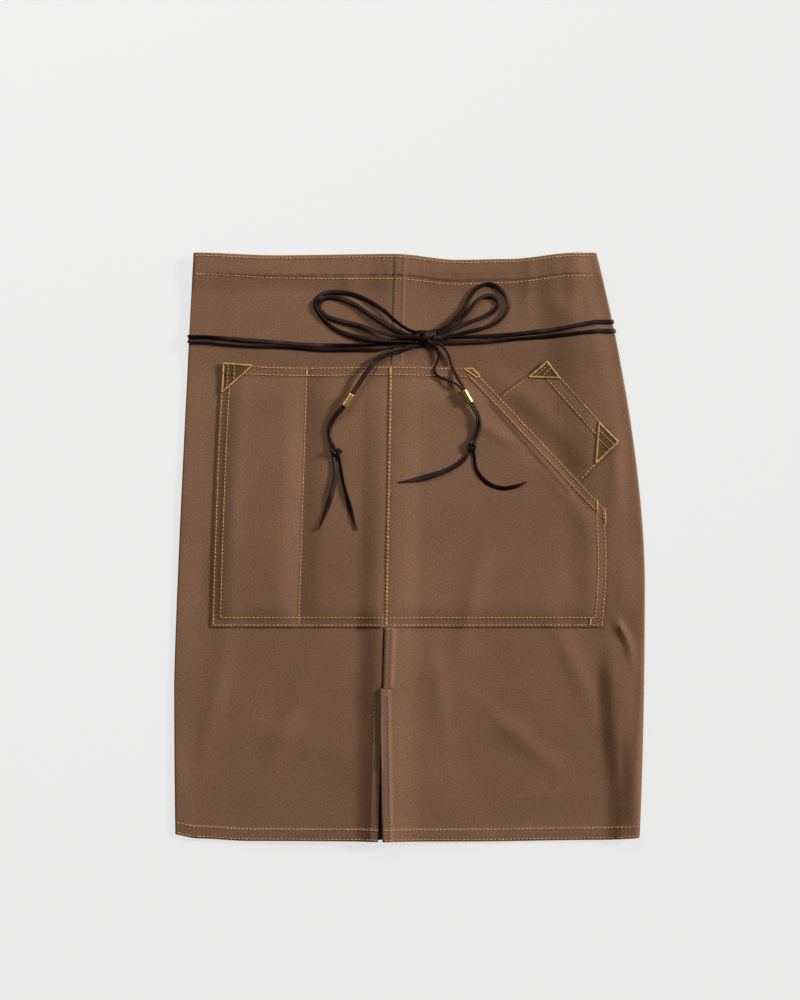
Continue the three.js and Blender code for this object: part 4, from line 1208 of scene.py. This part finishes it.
class ApronPocketStitches(bpy.types.Operator):
    """Double rows, dividers and bar tacks of the pockets, and the satin edges of the patches"""
    bl_idname = "apron.pocket_stitches"
    bl_label = "Pocket stitching"

    def execute(self, context):
        low, corner = MAIN_BOTTOM, MAIN_CORNER[1]
        ends = float(pocket_left(np.array(low))), float(pocket_right(np.array(low)))
        rows = []
        for inset in POCKET_ROWS:
            rows.append(line_of((-184.5, 62 - 0.4 * inset), lambda x: pocket_top(x) - inset))
            rows.append(inset_line(MAIN_TOP_RIGHT, MAIN_CORNER, 0.9 * inset, 1.5))
            rows.append(line_of(lambda y: pocket_left(y) + inset, (low + inset, POCKET_TOP - 3)))
            rows.append(line_of(lambda y: pocket_right(y) - inset,
                                (low + inset, corner - 0.5 * inset)))
            rows.append(line_of((ends[0] + inset, ends[1] - inset), (low + inset, low + inset)))
        rows.append(line_of(knife_line, (low + 2, POCKET_TOP - 3)))
        dense = [line_of(lambda y: divider_line(y) + 0.1 + shift, (low + 2, POCKET_TOP - 1.5))
                 for shift in (0.0, 0.9)]
        tacks = [[(-102.6, 178.5), (-102.9, 171)], [(-19.2, 180), (-19.4, 172)],
                 [(187.2, 47), (187.6, 36)], [(195.0, 38.2), (195.8, 23)],
                 [(181, -71), (180.6, -78)],
                 [(54.5, 178), (63, 178.2), (70.3, 171.2), (66.8, 169.6), (54.5, 178)]]
        obj = stitches("main_pocket_stitches", [
            stitch_rows(rows, main_z), stitch_rows(dense, main_z, 0.95),
            satin_rows(tacks, lambda x, y: surface_z(x, y) + 0.1, 1.9)])
        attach(obj, "front")

        upper, lower, lower_deep, upper_deep = small_corners()
        rows = [inset_line(upper, lower, 12.2, 2.0), inset_line(upper, lower, 1.6, 20.0),
                inset_line(lower, at_slant(lower, lower_deep), 1.8, 2.0),
                inset_line(at_slant(upper, upper_deep), upper, 1.8, 2.0)]
        obj = stitches("small_pocket_stitches", [stitch_rows(rows, small_z)])
        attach(obj, "front")

        groups = []
        for name, (a, b, c) in PATCHES.items():
            above = lambda x, y: pocket_of(name)(x, y) + 0.72
            middle = np.mean([a, b, c], axis=0)
            a, b, c = (np.array(p) + (middle - p) * 0.07 for p in (a, b, c))
            edges = [[a, b], [b, c], [c, a]]
            groups.append(satin_rows(edges, above, 2.0))
            groups.append(stitch_rows([[a * 0.62 + b * 0.38, c * 0.62 + b * 0.38],
                                       [a * 0.84 + b * 0.16, c * 0.84 + b * 0.16]], above))
        obj = stitches("patch_stitches", groups, SATIN_RADIUS)
        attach(obj, "front")
        return {"FINISHED"}


# Materials

def blank_material(name):
    """A new material, its node tree and its shader."""
    found = bpy.data.materials.new(name)
    found.use_nodes = True
    tree = found.node_tree
    return found, tree, next(n for n in tree.nodes if n.type == "BSDF_PRINCIPLED")


def feed(tree, node, **values):
    """Sets a node's inputs and settings, and links an input where its value is a socket. An input
    goes by its name, with _ for a space, or by its place, as in at_0."""
    for key, value in values.items():
        name = int(key[3:]) if key.startswith("at_") else key.replace("_", " ")
        if isinstance(name, str) and name not in node.inputs:
            setattr(node, key, value)
        elif isinstance(value, bpy.types.NodeSocket):
            tree.links.new(value, node.inputs[name])
        else:
            node.inputs[name].default_value = value
    return node


def put(tree, kind, **values):
    return feed(tree, tree.nodes.new(kind), **values)


def noise(tree, place, scale, detail, roughness=0.5):
    return put(tree, "ShaderNodeTexNoise", Vector=place, Scale=scale, Detail=detail,
               Roughness=roughness).outputs["Fac"]


def shade(tree, factor, dark, light):
    """Colour between two, by a factor socket."""
    return put(tree, "ShaderNodeMix", data_type="RGBA", at_0=factor, at_6=(*dark, 1),
               at_7=(*light, 1)).outputs[2]


def stretched(tree, factor, low, high, to_low=0.0, to_high=1.0):
    """A factor whose range from low to high is stretched to another."""
    return put(tree, "ShaderNodeMapRange", at_0=factor, at_1=low, at_2=high, at_3=to_low,
               at_4=to_high).outputs[0]


def product(tree, a, b):
    return put(tree, "ShaderNodeMath", operation="MULTIPLY", at_0=a, at_1=b).outputs[0]


def bump(tree, height, strength, distance, **under):
    """Normal of a bump, over an earlier one if that is given as Normal."""
    return put(tree, "ShaderNodeBump", Height=height, Strength=strength, Distance=distance,
               **under).outputs[0]


def scaled(colour, factor):
    return tuple(min(1.0, c * factor) for c in colour)


def twill_nodes(tree, shader, colour):
    """Steep diagonal ribs across the map, uneven yarn, slow tone changes, and paler worn edges."""
    place = put(tree, "ShaderNodeUVMap", uv_map="cloth").outputs[0]
    slant = put(tree, "ShaderNodeMapping", Vector=place, Rotation=(0, 0, math.radians(57)))
    ribs = put(tree, "ShaderNodeTexWave", Vector=slant.outputs[0],
               Scale=0.314 / cloth().rib_pitch, Distortion=1.1, Detail=2.0, Detail_Scale=1.6,
               wave_type="BANDS", bands_direction="X").outputs["Fac"]
    yarn = put(tree, "ShaderNodeMapping", Vector=place, Scale=(1900, 420, 1))
    slub = noise(tree, yarn.outputs[0], 1.0, 3.0, 0.6)
    fuzz = noise(tree, place, 620.0, 3.0, 0.75)
    slow = noise(tree, place, 9.0, 4.0, 0.55)

    base = shade(tree, stretched(tree, ribs, 0.1, 0.9), scaled(colour, 0.80), scaled(colour, 1.12))
    grain = stretched(tree, slub, 0.3, 0.7, 0.80, 1.20)
    speckle = stretched(tree, fuzz, 0.34, 0.66, 0.74, 1.26)
    tone = stretched(tree, slow, 0.3, 0.7, 0.90, 1.08)
    toned = put(tree, "ShaderNodeVectorMath", operation="SCALE", at_0=base,
                Scale=product(tree, product(tree, grain, speckle), tone))
    worn = put(tree, "ShaderNodeAttribute", attribute_name="wear").outputs["Fac"]
    patchy = product(tree, worn, stretched(tree, fuzz, 0.35, 0.65, 0.1, 0.55))
    pale = put(tree, "ShaderNodeMix", data_type="RGBA", at_0=patchy, at_6=toned.outputs[0],
               at_7=(*scaled(colour, 1.45), 1))
    weave = bump(tree, ribs, 0.45, 0.00022)
    rough = bump(tree, slub, 0.5, 0.00025, Normal=weave)
    feed(tree, shader, Base_Color=pale.outputs[2], Roughness=0.92, Specular_IOR_Level=0.07,
         Sheen_Weight=0.05, Sheen_Roughness=0.5, Normal=bump(tree, slow, 0.35, 0.004, Normal=rough))


def thread_nodes(tree, shader, colour):
    """Twisted thread: fine bands on the slant and a tone that changes from stitch to stitch."""
    place = put(tree, "ShaderNodeTexCoord").outputs["Object"]
    twist = put(tree, "ShaderNodeTexWave", Vector=place, Scale=420.0, Distortion=0.6,
                bands_direction="DIAGONAL").outputs["Fac"]
    tone = stretched(tree, noise(tree, place, 240.0, 1.0), 0.35, 0.65)
    feed(tree, shader, Base_Color=shade(tree, tone, scaled(colour, 0.72), scaled(colour, 1.18)),
         Roughness=0.55, Sheen_Weight=0.1, Normal=bump(tree, twist, 0.5, 0.0002))


def leather_nodes(tree, shader, colour):
    """Waxed leather: pebbled grain, a few paler scuffs, and uneven gloss."""
    place = put(tree, "ShaderNodeTexCoord").outputs["Object"]
    pebble = put(tree, "ShaderNodeTexVoronoi", Vector=place, Scale=1300.0).outputs["Distance"]
    grain = noise(tree, place, 520.0, 4.0, 0.6)
    worn = stretched(tree, noise(tree, place, 70.0, 5.0, 0.65), 0.46, 0.72)
    fine = bump(tree, pebble, 0.35, 0.00025)
    feed(tree, shader, Base_Color=shade(tree, worn, scaled(colour, 0.85), scaled(colour, 2.6)),
         Roughness=stretched(tree, grain, 0.3, 0.7, 0.36, 0.60), Specular_IOR_Level=0.14,
         Normal=bump(tree, grain, 0.5, 0.0006, Normal=fine))


def brass_nodes(tree, shader, colour):
    """Polished brass with fine rubbed lines and slight tarnish."""
    place = put(tree, "ShaderNodeTexCoord").outputs["Object"]
    rub = put(tree, "ShaderNodeMapping", Vector=place, Scale=(300, 300, 2600))
    lines = noise(tree, rub.outputs[0], 1.0, 3.0)
    dull = stretched(tree, noise(tree, place, 260.0, 3.0), 0.5, 0.75)
    feed(tree, shader, Base_Color=shade(tree, dull, colour, scaled(colour, 0.7)),
         Roughness=stretched(tree, lines, 0.3, 0.7, 0.32, 0.46), Metallic=1.0,
         Normal=bump(tree, lines, 0.05, 0.0001))


MAKERS = {
    "twill": ("Brown cotton twill", twill_nodes, lambda: cloth().colour),
    "patch": ("Olive patch twill", twill_nodes, lambda: cloth().patch_colour),
    "thread": ("Golden sewing thread", thread_nodes, lambda: thread().colour),
    "tone_thread": ("Brown sewing thread", thread_nodes, lambda: thread().tone_colour),
    "leather": ("Waxed leather lace", leather_nodes, lambda: ties().colour),
    "brass": ("Polished brass", brass_nodes, lambda: ties().brass),
}


def material(kind):
    """The material of a kind, made when it is first asked for."""
    label, maker, colour = MAKERS[kind]
    found = bpy.data.materials.get(label)
    if not found:
        found, tree, shader = blank_material(label)
        maker(tree, shader, tuple(colour()))
    return found


# Stage, interface and the order of the work

# Places in metres. A sun's size is its angle in radians
CAMERA_PLACE, CAMERA_LENS = (-0.0095, 0.047, 3.0), 107.9
KEY = {"place": (2.2, 0.75, 0.80), "size": 0.17, "power": 5.6, "colour": (1.0, 0.98, 0.95),
       "kind": "SUN"}
TOP_LIGHT = {"place": (-0.75, 1.75, 1.05), "size": 1.0, "power": 29.0,
             "colour": (1.0, 0.99, 0.97), "kind": "AREA"}
SKY_COLOUR, SKY_STRENGTH = (0.90, 0.95, 1.0, 1), 0.08
FLOOR_RADII = np.array([0.02, 0.6, 2, 6, 14.0])
FLOOR_Z, FLOOR_GLOW, FLOOR_DIFFUSE = -0.0004, 0.725, 0.12
DOME_REACH, DOME_GLOW = 13.5, 0.83
STAGE_SIDES = 64


class ApronStage(bpy.types.Operator):
    """Pale floor and backdrop, two soft lights, and a camera straight above the apron"""
    bl_idname = "apron.stage"
    bl_label = "Stage"

    def execute(self, context):
        scene = context.scene
        scene.view_settings.view_transform = "Standard"
        eye = bpy.data.cameras.new("overhead")
        eye.sensor_width, eye.lens = 36.0, CAMERA_LENS
        eye.clip_start, eye.clip_end = 0.05, 100.0
        camera = bpy.data.objects.new("overhead", eye)
        camera.location = CAMERA_PLACE
        scene.collection.objects.link(camera)
        scene.camera = camera

        self.light("key", **KEY)
        self.light("top", **TOP_LIGHT)
        world = scene.world or bpy.data.worlds.new("studio")
        scene.world = world
        world.use_nodes = True
        sky = world.node_tree.nodes.get("Background") or world.node_tree.nodes.new(
            "ShaderNodeBackground")
        sky.inputs["Color"].default_value = SKY_COLOUR
        sky.inputs["Strength"].default_value = SKY_STRENGTH

        floor = self.surface("floor")
        dome = self.dome("backdrop")
        return {"FINISHED"}

    def light(self, name, place, size, power, colour, kind):
        """A lamp aimed at the middle of the garment."""
        lamp = bpy.data.lights.new(name, kind)
        lamp.energy, lamp.color = power, colour
        if kind == "SUN":
            lamp.angle = size
        else:
            lamp.shape, lamp.size = "SQUARE", size
        obj = bpy.data.objects.new(name, lamp)
        obj.location = place
        x, y, z = (-v for v in place)
        obj.rotation_euler = (math.atan2(math.hypot(x, y), -z), 0, math.atan2(y, x) - math.pi / 2)
        bpy.context.scene.collection.objects.link(obj)

    def glow(self, name, strength, diffuse):
        """Mostly its own pale light, and a little that takes shadows."""
        found, tree, shader = blank_material(name)
        feed(tree, shader, Base_Color=(diffuse, diffuse, diffuse, 1), Roughness=1.0,
             Specular_IOR_Level=0.0, Emission_Color=(1.0, 1.0, 1.0, 1), Emission_Strength=strength)
        return found

    def surface(self, name):
        """A round flat sheet in rings."""
        angle = 2 * math.pi * np.arange(STAGE_SIDES) / STAGE_SIDES
        radii = FLOOR_RADII[:, None] / MM
        level = np.full((len(radii), STAGE_SIDES), FLOOR_Z / MM)
        points = np.stack([radii * np.cos(angle), radii * np.sin(angle), level], -1)
        at, quads = ring_quads(len(radii), STAGE_SIDES)
        obj = mesh_from(name, points, quads[:, ::-1].tolist() + [at[0].tolist()], sharp=None)
        obj.data.materials.append(self.glow("Pale floor", FLOOR_GLOW, FLOOR_DIFFUSE))
        obj.visible_diffuse = False
        return obj

    def dome(self, name):
        """Half a ball of even light behind everything, whose light reaches no cloth."""
        angle = 2 * math.pi * np.arange(STAGE_SIDES) / STAGE_SIDES
        rise = np.linspace(-0.02, math.pi / 2 - 0.01, 20)[:, None]
        ring, high = np.cos(rise) * DOME_REACH / MM, np.sin(rise) * DOME_REACH / MM
        points = np.stack([ring * np.cos(angle), ring * np.sin(angle),
                           np.repeat(high, STAGE_SIDES, 1)], -1)
        quads = ring_quads(len(rise), STAGE_SIDES)[1]
        obj = mesh_from(name, points, quads[:, ::-1].tolist(), sharp=None)
        obj.data.materials.append(self.glow("Pale backdrop", DOME_GLOW, 0.0))
        obj.visible_diffuse = obj.visible_shadow = obj.visible_glossy = False
        return obj


class ApronEyelets(bpy.types.Operator):
    """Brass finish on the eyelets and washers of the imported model"""
    bl_idname = "apron.eyelets"
    bl_label = "Eyelets"

    def execute(self, context):
        for name in SIDES:
            for piece in ("inner_eyelet", "outer_eyelet", "inner_washer", "outer_washer"):
                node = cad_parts[f"{name}_{piece}"]
                node.data.materials.clear()
                node.data.materials.append(material("brass"))
        return {"FINISHED"}


class ApronPanel(bpy.types.Panel):
    """Sizes and colours, and the steps that make the apron"""
    bl_idname = "VIEW3D_PT_apron"
    bl_label = "Split Waist Apron"
    bl_space_type = "VIEW_3D"
    bl_region_type = "UI"
    bl_category = "Apron"

    def draw(self, context):
        layout = self.layout
        for title, settings in (("Cloth", cloth()), ("Thread", thread()), ("Ties", ties())):
            box = layout.box()
            box.label(text=title)
            for key in settings.__annotations__:
                box.prop(settings, key)
        for step in STEPS:
            layout.operator(step.bl_idname)


STEPS = (ApronStage, ApronTies, ApronFronts, ApronWings, ApronPockets, ApronPatches,
         ApronBandStitches, ApronPocketStitches, ApronEyelets)
CLASSES = (TwillSettings, StitchSettings, TieSettings, *STEPS, ApronPanel)


def register():
    for cls in CLASSES:
        bpy.utils.register_class(cls)
    bpy.types.Scene.apron_cloth = PointerProperty(type=TwillSettings)
    bpy.types.Scene.apron_thread = PointerProperty(type=StitchSettings)
    bpy.types.Scene.apron_ties = PointerProperty(type=TieSettings)


def unregister():
    del bpy.types.Scene.apron_ties
    del bpy.types.Scene.apron_thread
    del bpy.types.Scene.apron_cloth
    for cls in reversed(CLASSES):
        bpy.utils.unregister_class(cls)


def main():
    register()
    bpy.ops.apron.stage()
    bpy.ops.apron.ties()
    bpy.ops.apron.fronts()
    bpy.ops.apron.wings()
    bpy.ops.apron.pockets()
    bpy.ops.apron.patches()
    bpy.ops.apron.band_stitches()
    bpy.ops.apron.pocket_stitches()
    bpy.ops.apron.eyelets()


if __name__ == "__main__":
    main()
